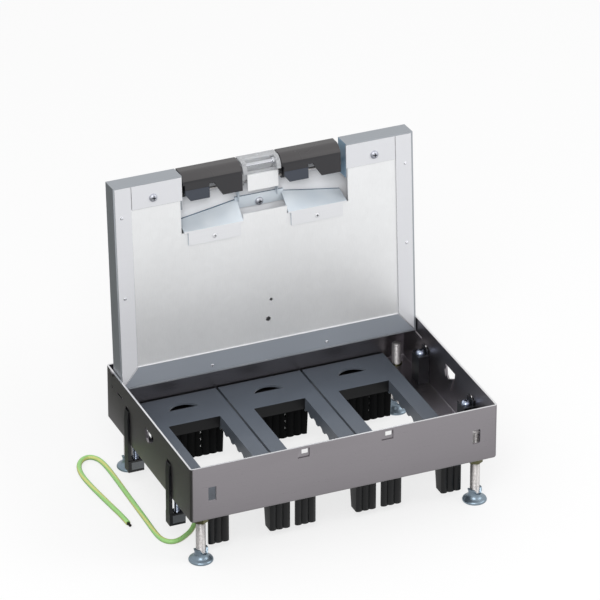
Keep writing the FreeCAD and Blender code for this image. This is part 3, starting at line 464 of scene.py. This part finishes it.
def thread_shape(tree, given, sides, rows):
    """A right-hand thread between the inputs Foot and Top: a bar whose points are drawn in to the
    thread, which is half a pitch deep, and to a chamfer at each end."""
    foot = given.outputs["Foot"]
    top = given.outputs["Top"]
    pitch = given.outputs["Pitch"]
    radius = add(tree, "ShaderNodeMath", "MULTIPLY", [given.outputs["Thread Diameter"], 0.5])
    length = add(tree, "ShaderNodeMath", "SUBTRACT", [top, foot])
    bar = add(tree, "GeometryNodeMeshCylinder", {"fill_type": "NGON"},
              {"Vertices": sides, "Side Segments": rows, "Radius": radius, "Depth": length})
    at = add(tree, "ShaderNodeSeparateXYZ", None, [add(tree, "GeometryNodeInputPosition")])
    ends = add(tree, "ShaderNodeMath", "ADD", [top, foot])
    middle = add(tree, "ShaderNodeMath", "MULTIPLY", [ends, 0.5])
    height = add(tree, "ShaderNodeMath", "ADD", [at.outputs["Z"], middle])
    # The groove's turn at a point is its height in pitches less its angle in turns.
    angle = add(tree, "ShaderNodeMath", "ARCTAN2", [at.outputs["Y"], at.outputs["X"]])
    angle_turns = add(tree, "ShaderNodeMath", "DIVIDE", [angle, 2 * math.pi])
    height_turns = add(tree, "ShaderNodeMath", "DIVIDE", [height, pitch])
    turns = add(tree, "ShaderNodeMath", "SUBTRACT", [height_turns, angle_turns])
    wave = add(tree, "ShaderNodeMath", "PINGPONG", [turns, 0.5])
    steep = add(tree, "ShaderNodeMath", "MULTIPLY", [wave, flank_rise])
    flank = add(tree, "ShaderNodeMath", "MINIMUM", [steep, 1.0])
    below_crest = add(tree, "ShaderNodeMath", "SUBTRACT", [1.0, flank])
    depth = add(tree, "ShaderNodeMath", "MULTIPLY", [pitch, 0.5])
    groove = add(tree, "ShaderNodeMath", "MULTIPLY", [below_crest, depth])
    from_foot = add(tree, "ShaderNodeMath", "SUBTRACT", [height, foot])
    from_top = add(tree, "ShaderNodeMath", "SUBTRACT", [top, height])
    from_end = add(tree, "ShaderNodeMath", "MINIMUM", [from_foot, from_top])
    chamfer_depth = add(tree, "ShaderNodeMath", "MULTIPLY", [depth, chamfer_depths])
    chamfer = add(tree, "ShaderNodeMath", "SUBTRACT", [chamfer_depth, from_end])
    cut = add(tree, "ShaderNodeMath", "MAXIMUM", [groove, chamfer])
    cut_share = add(tree, "ShaderNodeMath", "DIVIDE", [cut, radius])
    share = add(tree, "ShaderNodeMath", "SUBTRACT", [1.0, cut_share])
    across_x = add(tree, "ShaderNodeMath", "MULTIPLY", [at.outputs["X"], share])
    across_y = add(tree, "ShaderNodeMath", "MULTIPLY", [at.outputs["Y"], share])
    drawn_in = add(tree, "ShaderNodeCombineXYZ", None, [across_x, across_y, height])
    return add(tree, "GeometryNodeSetPosition", None, {"Geometry": bar, "Position": drawn_in})


def head_shape(tree, given, sides):
    """A domed pan head that stands on z = Top, with two crossed slots sunk in its crown."""
    wide = given.outputs["Head Diameter"]
    high = given.outputs["Head Height"]
    top = given.outputs["Top"]
    radius = add(tree, "ShaderNodeMath", "MULTIPLY", [wide, 0.5])
    disc = add(tree, "GeometryNodeMeshCylinder", {"fill_type": "NGON"},
               {"Vertices": sides, "Side Segments": head_rows, "Radius": radius, "Depth": high})
    at = add(tree, "ShaderNodeSeparateXYZ", None, [add(tree, "GeometryNodeInputPosition")])
    risen = add(tree, "ShaderNodeMath", "DIVIDE", [at.outputs["Z"], high])
    lift = add(tree, "ShaderNodeMath", "ADD", [risen, 0.5])
    fuller = add(tree, "ShaderNodeMath", "MULTIPLY", [lift, dome_fullness])
    square = add(tree, "ShaderNodeMath", "POWER", [fuller, 2.0])
    rest = add(tree, "ShaderNodeMath", "SUBTRACT", [1.0, square])
    share = add(tree, "ShaderNodeMath", "SQRT", [rest])
    stand = add(tree, "ShaderNodeMath", "MULTIPLY", [lift, high])
    height = add(tree, "ShaderNodeMath", "ADD", [stand, top])
    across_x = add(tree, "ShaderNodeMath", "MULTIPLY", [at.outputs["X"], share])
    across_y = add(tree, "ShaderNodeMath", "MULTIPLY", [at.outputs["Y"], share])
    domed = add(tree, "ShaderNodeCombineXYZ", None, [across_x, across_y, height])
    dome = add(tree, "GeometryNodeSetPosition", None, {"Geometry": disc, "Position": domed})
    crown = add(tree, "ShaderNodeMath", "ADD", [top, high])
    crown_at = add(tree, "ShaderNodeCombineXYZ", None, {"Z": crown})
    long_side = add(tree, "ShaderNodeMath", "MULTIPLY", [wide, slot_long])
    short_side = add(tree, "ShaderNodeMath", "MULTIPLY", [wide, slot_wide])
    blades = []
    for along_x, along_y in ((long_side, short_side), (short_side, long_side)):
        size = add(tree, "ShaderNodeCombineXYZ", None, [along_x, along_y, high])
        blade = add(tree, "GeometryNodeMeshCube", None, {"Size": size})
        sunk_blade = add(tree, "GeometryNodeTransform", None,
                         {"Geometry": blade, "Translation": crown_at})
        # The slots carry the recess's painted shade.
        blades.append(add(tree, "GeometryNodeSetMaterial", None,
                          {"Geometry": sunk_blade, "Material": given.outputs["Recess Painted Shade"]}))
    return add(tree, "GeometryNodeMeshBoolean", "DIFFERENCE", {"Mesh 1": dome, "Mesh 2": blades})


def zinc_plate(name, code, roughness, tint, spread=0.25, metallic=1.0):
    """Electroplated zinc: bright, with the faint blue and straw drift of its passivation."""
    made, tree, shader = finish_named(name)
    at = add(tree, "ShaderNodeTexCoord").outputs["Object"]
    drift = add(tree, "ShaderNodeTexNoise", None,
                {"Vector": at, "Scale": per(passivation_drift), "Detail": 1.0})
    colour = add(tree, "ShaderNodeValToRGB", None, [drift],
                 stops=[(0.5 - spread, tint), (0.5 + spread, code)])
    gloss = add(tree, "ShaderNodeMapRange", None, noise_to(roughness - 0.03, roughness + 0.03, drift))
    feed(tree, shader, {"Base Color": colour, "Metallic": metallic, "Roughness": gloss})
    return made


# Zinc with a blue passivation, bright; the recess of a head is painted a dull dark grey as shade.
blue_zinc = zinc_plate("blue_passivated_zinc", "c3cbd8", 0.28, "9aa8c4")
recess_painted_shade = zinc_plate("shaded_recess_zinc", "3a3d46", 0.5, "2a2c33", metallic=0.5)
screw_tree, given = shape_tree("threaded_screw", clamp_screw)
screw_head = head_shape(screw_tree, given, head_sides)
# The thread has 64 turns, with six rows of points to each.
screw_thread = thread_shape(screw_tree, given, screw_sides, clamp_screw_rows)
whole_screw = add(screw_tree, "GeometryNodeJoinGeometry", None,
                  {"Geometry": [screw_head, screw_thread]})
close_tree(screw_tree, given, whole_screw, recessed=True)
for place, (side, end) in corners.items():
    screw = grown("screw_" + place, screw_tree, [(side * clamp_x, end * clamp_y, 0)], clamp_screw,
                  blue_zinc, recess_painted_shade)
    carried(screw, "clamp_screw_" + place)

# Levelling legs: M8 threaded rods in hexagonal bushes riveted to the side flanges. Each stands
# in a flared zinc foot with two ears beside the rod.
leg_x = 118.9
leg_y = 78.5
leg_rod = {"Thread Diameter": 7.9, "Pitch": 1.25, "Foot": 3.25, "Top": 64.0}
rod_sides = 28
rod_rows = 294
foot_sides = 64
foot_bore = 3.65
foot_socket_z = 3.15
foot_waist_z = 7.4
foot_ear_top_z = 11.6
foot_outline = [(9.2, 0.0), (9.7, 0.15), (10.0, 0.6), (10.0, 1.2), (9.7, 1.9), (9.0, 2.5), (8.0, 3.0),
                (7.0, 3.6), (6.1, 4.6), (5.5, 5.8), (5.2, 6.7), (5.1, foot_waist_z), (5.2, 8.6),
                (5.5, 9.9), (5.85, 11.2), (5.7, foot_ear_top_z), (foot_bore + 0.5, foot_ear_top_z),
                (foot_bore, 11.2), (foot_bore, 8.6), (foot_bore, foot_waist_z),
                (foot_bore, foot_socket_z)]
foot_turn = math.radians(23.0)
# An ear's height follows the cosine of the angle round the rod, made this much steeper and lowered.
ear_steepness = 1.9
ear_gap = 0.55

# Olive chromate on the bushes, dull pale zinc on the rods, and satin blue-grey zinc on the feet.
olive_steel = zinc_plate("olive_passivated_steel", "7c7a5c", 0.40, "55553f")
pale_zinc = zinc_plate("rolled_thread_zinc", "dad7d5", 0.48, "c9c6c6")
foot_zinc = zinc_plate("satin_foot_zinc", "90a0ac", 0.36, "8696a3", metallic=0.8)
dressed("leg_bosses", "leg_bushes", olive_steel, 0.2)


def turned_foot(name, x, y):
    """A lathe-turned foot; above its waist two ears stand up, with a rounded gap between them."""
    shell = bmesh.new()
    rings = []
    for radius, z in foot_outline:
        ring = []
        for step in range(foot_sides):
            angle = 2 * math.pi * step / foot_sides
            ear = ear_steepness * abs(math.cos(angle - foot_turn)) - ear_gap
            stand = min(1.0, max(0.0, ear))
            lift = z if z <= foot_waist_z else foot_waist_z + (z - foot_waist_z) * stand
            ring.append(shell.verts.new(((x + radius * math.cos(angle)) * MM,
                                         (y + radius * math.sin(angle)) * MM, lift * MM)))
        rings.append(ring)
    for low, high in zip(rings, rings[1:]):
        for step in range(foot_sides):
            other = (step + 1) % foot_sides
            shell.faces.new((low[step], low[other], high[other], high[step]))
    shell.faces.new(tuple(reversed(rings[0])))
    shell.faces.new(rings[-1])
    mesh = bpy.data.meshes.new(name)
    shell.to_mesh(mesh)
    shell.free()
    for polygon in mesh.polygons:
        polygon.use_smooth = True
    mesh.set_sharp_from_angle(angle=math.radians(50))
    mesh.materials.append(foot_zinc)
    return link(name, mesh)


rod_tree, given = shape_tree("threaded_rod", leg_rod)
# The rod has 49 turns of thread, also with six rows to each.
close_tree(rod_tree, given, thread_shape(rod_tree, given, rod_sides, rod_rows))
for place, (side, end) in corners.items():
    rod = grown("rod_" + place, rod_tree, [(side * leg_x, end * leg_y, 0)], leg_rod, pale_zinc,
                sharp=60.0)
    carried(rod, "leg_rod_" + place)
    foot = turned_foot("foot_" + place, side * leg_x, end * leg_y)
    carried(foot, "foot_pad_" + place)

# Earth terminal: a stud through the left flange with a nut under it, which clamps a tinned
# ring lug. The lug's barrel is bent down and crimped on the wire.
tinned_copper = zinc_plate("tinned_copper", "c4c4c2", 0.30, "9c9c9e")
dressed("earth_stud", "terminal_stud", blue_zinc, 0.15)
dressed("earth_nut", "terminal_nut", blue_zinc, 0.2)
dressed("earth_lug", "terminal_lug", tinned_copper, 0.15)

# Earth wire: one stranded copper core in soft PVC, green with a yellow stripe on each side. It
# hangs from its lug under the left flange, then lies on the floor in the loop that the photograph
# shows and ends bare.
wire_diameter = 4.1
wire_lay = wire_diameter / 2
wire_route = [
    (-102.5, -30.4, 30.0), (-102.5, -30.4, 21.5), (-102.8, -30.6, 12.3), (-105.4, -32.8, 5.8),
    (-110.3, -37.0, wire_lay), (-117.0, -42.3, wire_lay), (-123.8, -46.6, wire_lay),
    (-130.4, -47.9, wire_lay), (-135.6, -44.2, wire_lay), (-138.0, -37.2, wire_lay),
    (-138.4, -26.5, wire_lay), (-137.8, -7.0, wire_lay), (-137.5, 24.0, wire_lay),
    (-136.9, 56.0, wire_lay), (-136.7, 77.0, wire_lay), (-137.4, 89.5, wire_lay),
    (-139.4, 97.6, wire_lay), (-144.4, 102.6, wire_lay), (-151.0, 101.0, wire_lay),
    (-156.0, 95.0, wire_lay), (-159.0, 87.2, wire_lay), (-160.4, 76.0, wire_lay),
    (-159.7, 60.0, wire_lay), (-157.6, 40.0, wire_lay), (-155.3, 20.0, wire_lay),
    (-153.3, 4.0, wire_lay), (-152.8, -7.0, wire_lay),
]
wire_sides = 20
stripe_turns = 1.6
drawing_mark = 16.67
pvc_green = "a6dc86"
pvc_yellow = "d6dc86"


def smooth_line(route):
    """The points of the smooth line that a NURBS spline draws along a route in millimetres."""
    curve = bpy.data.curves.new("line", "CURVE")
    curve.dimensions = "3D"
    spline = curve.splines.new("NURBS")
    spline.points.add(len(route) - 1)
    for point, place in zip(spline.points, route):
        point.co = (place[0] * MM, place[1] * MM, place[2] * MM, 1)
    spline.order_u = 3
    spline.use_endpoint_u = True
    spline.resolution_u = 8
    holder = link("line", curve)
    drawn = bpy.data.meshes.new_from_object(holder)
    points = [vertex.co.copy() for vertex in drawn.vertices]
    bpy.data.objects.remove(holder)
    bpy.data.meshes.remove(drawn)
    return points


def tube(name, points, radius, sides, turns=0.0):
    """A closed tube along points. Its UV runs round the tube in U, turning with the stripe's lay."""
    verts = []
    faces = []
    side_of = Vector((1, 0, 0))
    run = 0.0
    rows = []
    for index, point in enumerate(points):
        before = points[max(index - 1, 0)]
        after = points[min(index + 1, len(points) - 1)]
        heading = (after - before).normalized()
        side_of = (side_of - heading * side_of.dot(heading)).normalized()
        across = heading.cross(side_of)
        run += (point - before).length
        rows.append(run)
        for step in range(sides):
            angle = 2 * math.pi * step / sides
            verts.append(point + (side_of * math.cos(angle) + across * math.sin(angle)) * radius)
    for row in range(len(points) - 1):
        for step in range(sides):
            a = row * sides + step
            b = row * sides + (step + 1) % sides
            faces.append((a, b, b + sides, a + sides))
    faces.append(tuple(reversed(range(sides))))
    faces.append(tuple(range(len(verts) - sides, len(verts))))
    mesh = bpy.data.meshes.new(name)
    mesh.from_pydata(verts, [], faces)
    lay = mesh.uv_layers.new(name="lay")
    for polygon in mesh.polygons:
        on_wall = len(polygon.vertices) == 4
        polygon.use_smooth = on_wall
        for corner, loop in enumerate(polygon.loop_indices):
            row, step = divmod(mesh.loops[loop].vertex_index, sides)
            # The wall's last face closes the ring, so its far side reads one whole turn.
            wrapped = sides if on_wall and step == 0 and corner in (1, 2) else step
            lay.data[loop].uv = (wrapped / sides + turns * rows[row] / run, rows[row])
    return mesh


# Extruded PVC: two yellow stripes on green, soft gloss, faint drawing marks along the wire.
wire_pvc, tree, shader = finish_named("extruded_pvc_green_yellow")
lay_uv = add(tree, "ShaderNodeUVMap", {"uv_map": "lay"})
split = add(tree, "ShaderNodeSeparateXYZ", None, [lay_uv])
doubled = add(tree, "ShaderNodeMath", "MULTIPLY", [split, 2.0])
share = add(tree, "ShaderNodeMath", "FRACT", [doubled])
colour = add(tree, "ShaderNodeValToRGB", None, [share],
             stops=[(0.0, pvc_green), (0.30, pvc_green), (0.36, pvc_yellow), (0.64, pvc_yellow),
                    (0.70, pvc_green)])
marks = add(tree, "ShaderNodeTexNoise", None,
            {"Vector": lay_uv, "Scale": per(drawing_mark), "Detail": 2.0})
relief = add(tree, "ShaderNodeBump", None, {"Height": marks, "Strength": 0.06, "Distance": 0.2 * MM})
feed(tree, shader, {"Base Color": colour, "Roughness": 0.42, "IOR": 1.53, "Normal": relief})

wire_points = smooth_line(wire_route)
wire = link("earth_wire_insulation", tube("earth_wire_insulation", wire_points,
                                          wire_diameter / 2 * MM, wire_sides, stripe_turns))
wire.data.materials.append(wire_pvc)
carried(wire, "earth_wire")

# Wire end: seven copper strands, cut off dark and twisted together, just out of the insulation.
# Six of them lie round the seventh.
strand_diameter = 0.9
strand_ring = 0.92 * strand_diameter
strand_twist = 0.25
strand_steps = 8
strand_sides = 8
strand_sunk = 0.6
strand_stain = 1.111
tip_length = 5.0
tip_start = Vector(wire_route[-1])
tip_heading = (tip_start - Vector(wire_route[-2])).normalized()
tip_up = Vector((0, 0, 1))
tip_across = tip_up.cross(tip_heading)

# Cut copper: brown-black with the stain of handling, dull.
strand_copper, tree, shader = finish_named("cut_copper_strand_dark")
at = add(tree, "ShaderNodeTexCoord").outputs["Object"]
stain = add(tree, "ShaderNodeTexNoise", None, {"Vector": at, "Scale": per(strand_stain)})
colour = add(tree, "ShaderNodeValToRGB", None, [stain], stops=[(0.3, "1c1a19"), (0.7, "3a322c")])
feed(tree, shader, {"Base Color": colour, "Metallic": 0.4, "Roughness": 0.5})

strands = bmesh.new()
for strand in range(7):
    offset = 0.0 if strand == 6 else strand_ring
    line = []
    for step in range(strand_steps + 1):
        angle = 2 * math.pi * (strand / 6 + strand_twist * step / strand_steps)
        spot = tip_start + tip_heading * (tip_length * step / strand_steps - strand_sunk)
        spot = spot + (tip_across * math.cos(angle) + tip_up * math.sin(angle)) * offset
        line.append(spot * MM)
    part = tube("strand", line, strand_diameter / 2 * MM, strand_sides)
    strands.from_mesh(part)
    bpy.data.meshes.remove(part)
tip_mesh = bpy.data.meshes.new("earth_wire_strands")
strands.to_mesh(tip_mesh)
strands.free()
wire_tip = link("earth_wire_strands", tip_mesh)
wire_tip.data.materials.append(strand_copper)
carried(wire_tip, "earth_wire_tip")

# Lid cover: a folded stainless sheet, paler than the tray. Its inner skin shows only in the pocket,
# where it is coated white; the pocket's cheeks are painted a zinc-like blue-grey as the pocket's shade.
hinge_y = 79.0
hinge_z = 90.2
lid_open = math.radians(93.6)
hinge_at = Matrix.Translation(Vector((0, hinge_y, hinge_z)) * MM)
open_lid = hinge_at @ Matrix.Rotation(-lid_open, 4, "X") @ hinge_at.inverted()
shut_lid = open_lid.inverted()
lid_end = 89.15
lid_under_z = 75.8
lid_ceiling_z = 90.8
pocket_half = 71.0
cheek_reach = 2.0
cover_skin = 0.5

# Cold-rolled sheet, pale and dull; a white coat; and a blue-grey painted shade on the pocket's cheeks.
lid_steel = rolled_steel("cold_rolled_stainless_pale", "a8adb3", 0.38, "X", grain=0.015,
                         strength=0.02, metallic=0.6)
white_coat = rolled_steel("white_coated_sheet", "eeeff2", 0.45, "X", grain=0.015, metallic=0.0)
cheek_painted_shade = zinc_plate("cheek_blue_painted_shade", "93b4cc", 0.38, "7b9ab2", spread=0.3, metallic=0.4)


def in_pocket_ceiling(middle, normal):
    return normal.z < -square_on and middle.z > lid_ceiling_z - level_fit


# The pocket's cheeks, which take the blue-grey painted shade.
def on_cheek(middle, normal):
    in_pocket = abs(middle.x) < pocket_half + cheek_reach and middle.z < rim_z - cover_skin
    return in_pocket and abs(normal.x) > square_on


dressed("lid_cover", "lid_cover_sheet", lid_steel, 0.25, where=shut_lid,
        others=[(white_coat, in_pocket_ceiling), (cheek_painted_shade, on_cheek)])

# Border: strips of satin sheet in the cover's mouth, mitred at the rear corners, with a wider plate
# at each front corner. They are cut square and butt with hairline joints.
border_out = 128.5
border_side = 14.0
border_rear = 17.0
border_front = 20.5
border_end = 87.95
border_sheet = 1.0
joint_gap = 0.35
border_in = border_out - border_side
butt_in = border_in - joint_gap
rear_y = border_end - border_rear


def cut_plates(name, outlines, low_z, high_z):
    """Flat plates on the shut lid, cut to outlines in millimetres."""
    plates = bmesh.new()
    for outline in outlines:
        face = plates.faces.new([plates.verts.new((x * MM, y * MM, low_z * MM)) for x, y in outline])
        pushed = bmesh.ops.extrude_face_region(plates, geom=[face])
        risen = [item for item in pushed["geom"] if isinstance(item, bmesh.types.BMVert)]
        bmesh.ops.translate(plates, verts=risen, vec=(0, 0, (high_z - low_z) * MM))
    bmesh.ops.recalc_face_normals(plates, faces=plates.faces)
    mesh = bpy.data.meshes.new(name)
    plates.to_mesh(mesh)
    plates.free()
    return mesh


# Satin sheet: white at the sides; the rear strip is the same sheet painted greyer as shade; and the
# sheared edges and rounded edges are painted bright as a highlight.
lid_border = rolled_steel("satin_border_steel", "e9eaee", 0.44, "X", grain=0.01, strength=0.02,
                          metallic=0.3)
rear_border_painted_shade = rolled_steel("satin_border_steel_painted_shade", "9aa0a9", 0.40, "X", grain=0.01, strength=0.02,
                           metallic=0.2)
border_finishes = [lid_border, rear_border_painted_shade, sheared_edge_highlight]
outlines = [[(-border_out, border_end), (-butt_in, rear_y), (butt_in, rear_y), (border_out, border_end)]]
for side in (-1, 1):
    outlines.append([(side * border_out, -border_end), (side * border_in, -border_end),
                     (side * border_in, rear_y - joint_gap), (side * border_out, border_end - joint_gap)])
    outlines.append([(side * pocket_half, -border_end), (side * butt_in, -border_end),
                     (side * butt_in, -border_end + border_front),
                     (side * pocket_half, -border_end + border_front)])
border_mesh = cut_plates("lid_border_strips", outlines, lid_under_z, lid_under_z + border_sheet)
for polygon in border_mesh.polygons:
    middle = polygon.center / MM
    face_finish = lid_border
    # The rear strip takes the painted shade.
    if middle.y > rear_y and abs(middle.x) < border_in:
        face_finish = rear_border_painted_shade
    # The rear strip's inner edge takes the painted highlight.
    if polygon.normal.y < -square_on and middle.y > 0:
        face_finish = sheared_edge_highlight
    polygon.material_index = border_finishes.index(face_finish)
border_mesh.transform(open_lid)
for finish in border_finishes:
    border_mesh.materials.append(finish)
border = link("lid_border_strips", border_mesh)
# The rounded edges take the painted highlight.
broken_edges(border, 0.25, 30.0, border_finishes.index(sheared_edge_highlight))
carried(border, "lid_rim")

# Closing panel: galvanised sheet behind the border, with soft spangle, two small holes, and a
# tongue that reaches up between the bracket's feet.
galvanised = rolled_steel("galvanised_sheet", "f4f5f6", 0.42, "Z", grain=0.025, strength=0.04,
                          metallic=0.62, spangle=0.012)
dressed("lid_panel", "lid_closing_panel", galvanised, 0.1)

# Bracket: one pressed sheet, zinc-plated pale, with two feet on the panel and two sloping wings.
# Its sheared edges along the pocket are painted dark blue-grey as the shadow line there.
bracket_top_z = 89.3
bracket_foot_z = 77.3
edge_facing = 0.6
pale_plate = zinc_plate("pale_zinc_plate", "e4ebf1", 0.42, "d5dfe8", spread=0.3, metallic=0.35)
bracket_edge_painted_shadow = zinc_plate("bracket_edge_blue_painted_shadow", "647d92", 0.34, "4c6478", spread=0.3)


# The edges along the pocket, which take the painted shadow line.
def on_bracket_edge(middle, normal):
    return normal.y < -edge_facing and middle.z > bracket_top_z - level_fit


def on_bracket_foot(middle, normal):
    return normal.z < -square_on and middle.z < bracket_foot_z


dressed("lid_bracket", "pocket_bracket", pale_plate, 0.15, where=shut_lid,
        others=[(bracket_edge_painted_shadow, on_bracket_edge), (white_coat, on_bracket_foot)])
dressed("flap_axle", "flap_axle_rod", pale_zinc, 0.15)

# Cable flaps: moulded in glossy dark grey, each with a curved front that closes the pocket and two
# tongues. Cables leave under the tongues. A shallow pad stands on the lower part of each left one.
flap_lefts = {"left": -70.0, "right": 15.5}
flap_round = 9.3
flap_tongue = 14.0
tongue_root_y = -lid_end + 6.2
tongue_front_z = rim_z - 6.0
tongue_tip = -lid_end + flap_round + flap_tongue
pad_inset = 1.5
pad_reach = 22.5
pad_corner = 6.0
pad_height = 9.5
pad_proud = 0.3
pad_sunk = 0.2

# ABS: glossy graphite on the fronts; on the tongues the same graphite is painted darker as shade, and
# is duller; blue-grey on the pads.
flap_plastic = moulded_plastic("moulded_abs_graphite_gloss", "474546", 0.26, texture=0.05, bump=0.08)
tongue_painted_shade = moulded_plastic("moulded_abs_graphite", "222125", 0.34, texture=0.08, bump=0.2)
pad_plastic = moulded_plastic("moulded_abs_blue_grey", "363c48", 0.34, texture=0.06, bump=0.1)


# The tongues, which take the darker painted shade.
def on_tongue(middle, normal):
    return middle.y > tongue_root_y and middle.z < tongue_front_z


for side, flap_left in flap_lefts.items():
    dressed("cable_flap_" + side, "flap_" + side, flap_plastic, 0.25, where=shut_lid,
            others=[(tongue_painted_shade, on_tongue)])
    outline = [(flap_left + pad_inset, tongue_tip - pad_height),
               (flap_left + pad_reach, tongue_tip - pad_height),
               (flap_left + pad_reach, tongue_tip), (flap_left + pad_corner, tongue_tip),
               (flap_left + pad_inset, tongue_tip - pad_corner)]
    pad_mesh = cut_plates("flap_pad_" + side, [outline], lid_under_z - pad_proud,
                          lid_under_z + pad_sunk)
    pad_mesh.transform(open_lid)
    pad_mesh.materials.append(pad_plastic)
    pad = link("flap_pad_" + side, pad_mesh)
    broken_edges(pad, 0.15, 28.0)
    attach(pad, "flap_" + side)

# Finger pull: moulded in clear grey between the flaps. It carries a steel bar to hold and a pale
# plate behind it.
clear_plastic = moulded_plastic("moulded_clear_grey", "e0e2e5", 0.16, texture=0.03, bump=0.04,
                                clear=0.5)
bright_zinc = zinc_plate("bright_zinc", "f0f1f4", 0.25, "dcdee4")
dressed("finger_pull", "pull_body", clear_plastic, 0.25)
dressed("grip_rod", "pull_bar", bright_zinc, 0.2)
dressed("pull_plate", "pull_backing", galvanised, 0.15)

# Lid screws: pan heads with a cross recess, two at the front corners, one in the bracket's middle
# and a smaller one in each of its feet.
bracket_y = -39.85
corner_screw_x = 95.75
corner_screw_y = -75.25
shelf_screw_y = bracket_y - 8.0
foot_screw_x = 44.5
foot_screw_y = bracket_y + 7.8
foot_sheet_z = 75.3
shank_sides = 24
lid_screw_turn = (math.pi - lid_open, 0, 0)
corner_screw = {"Shank Diameter": 4.0, "Shank Length": 5.6, "Top": 0.0, "Head Diameter": 7.0,
                "Head Height": 2.0}
shelf_screw = {**corner_screw, "Shank Length": 1.4}
foot_screw = {**corner_screw, "Shank Diameter": 2.4, "Head Diameter": 4.0, "Head Height": 0.7}
violet_zinc = zinc_plate("violet_passivated_zinc", "cfd1d7", 0.42, "b3b6c2", spread=0.3, metallic=0.7)


def on_open_lid(places):
    return [(open_lid @ (Vector(place) * MM)) / MM for place in places]


lid_screw_tree, given = shape_tree("plain_shank_screw", corner_screw)
length = given.outputs["Shank Length"]
radius = add(lid_screw_tree, "ShaderNodeMath", "MULTIPLY", [given.outputs["Shank Diameter"], 0.5])
shank = add(lid_screw_tree, "GeometryNodeMeshCylinder", {"fill_type": "NGON"},
            {"Vertices": shank_sides, "Radius": radius, "Depth": length})
drop = add(lid_screw_tree, "ShaderNodeMath", "MULTIPLY", [length, -0.5])
drop_at = add(lid_screw_tree, "ShaderNodeCombineXYZ", None, {"Z": drop})
lowered = add(lid_screw_tree, "GeometryNodeTransform", None,
              {"Geometry": shank, "Translation": drop_at})
screw_head = head_shape(lid_screw_tree, given, head_sides)
whole_screw = add(lid_screw_tree, "GeometryNodeJoinGeometry", None, {"Geometry": [lowered, screw_head]})
close_tree(lid_screw_tree, given, whole_screw, recessed=True)

screw_finishes = [violet_zinc, white_coat, recess_painted_shade]
screw_sets = [
    ([(-corner_screw_x, corner_screw_y, lid_under_z), (corner_screw_x, corner_screw_y, lid_under_z)],
     corner_screw, violet_zinc),
    ([(0, shelf_screw_y, bracket_top_z)], shelf_screw, violet_zinc),
    ([(-foot_screw_x, foot_screw_y, foot_sheet_z), (foot_screw_x, foot_screw_y, foot_sheet_z)],
     foot_screw, white_coat),
]
joined_screws = bmesh.new()
for places, sizes, finish in screw_sets:
    part = grown("lid_screw", lid_screw_tree, on_open_lid(places), sizes, finish, recess_painted_shade,
                 turn=lid_screw_turn)
    for polygon in part.data.polygons:
        face_finish = part.data.materials[polygon.material_index]
        polygon.material_index = screw_finishes.index(face_finish)
    joined_screws.from_mesh(part.data)
    bpy.data.objects.remove(part)
lid_screw_mesh = bpy.data.meshes.new("lid_screw_set")
joined_screws.to_mesh(lid_screw_mesh)
joined_screws.free()
for finish in screw_finishes:
    lid_screw_mesh.materials.append(finish)
carried(link("lid_screw_set", lid_screw_mesh), "lid_screws")

# Rivets: six small domed heads in bright zinc that hold the border strips to the cover, two on
# each side strip and two on the rear one.
side_rivet_x = 123.0
side_rivet_ys = (-62.25, 8.45)
rear_rivet_x = 50.3
rear_rivet_y = 83.15
rivet_head = {"Head Diameter": 2.8, "Head Height": 0.45}
rivet_sides = 24
rivet_rings = 12

rivet_tree, given = shape_tree("domed_rivet", rivet_head)
wide = given.outputs["Head Diameter"]
blank = add(rivet_tree, "GeometryNodeMeshUVSphere", None,
            {"Segments": rivet_sides, "Rings": rivet_rings, "Radius": 0.5})
high = add(rivet_tree, "ShaderNodeMath", "MULTIPLY", [given.outputs["Head Height"], 2.0])
dome_size = add(rivet_tree, "ShaderNodeCombineXYZ", None, [wide, wide, high])
pressed = add(rivet_tree, "GeometryNodeTransform", None, {"Geometry": blank, "Scale": dome_size})
close_tree(rivet_tree, given, pressed)
rivet_places = []
for side in (-1, 1):
    rivet_places += [(side * side_rivet_x, y, lid_under_z) for y in side_rivet_ys]
    rivet_places.append((side * rear_rivet_x, rear_rivet_y, lid_under_z))
rivets = grown("lid_rivet_set", rivet_tree, on_open_lid(rivet_places), rivet_head, bright_zinc,
               turn=lid_screw_turn)
carried(rivets, "lid_rivets")
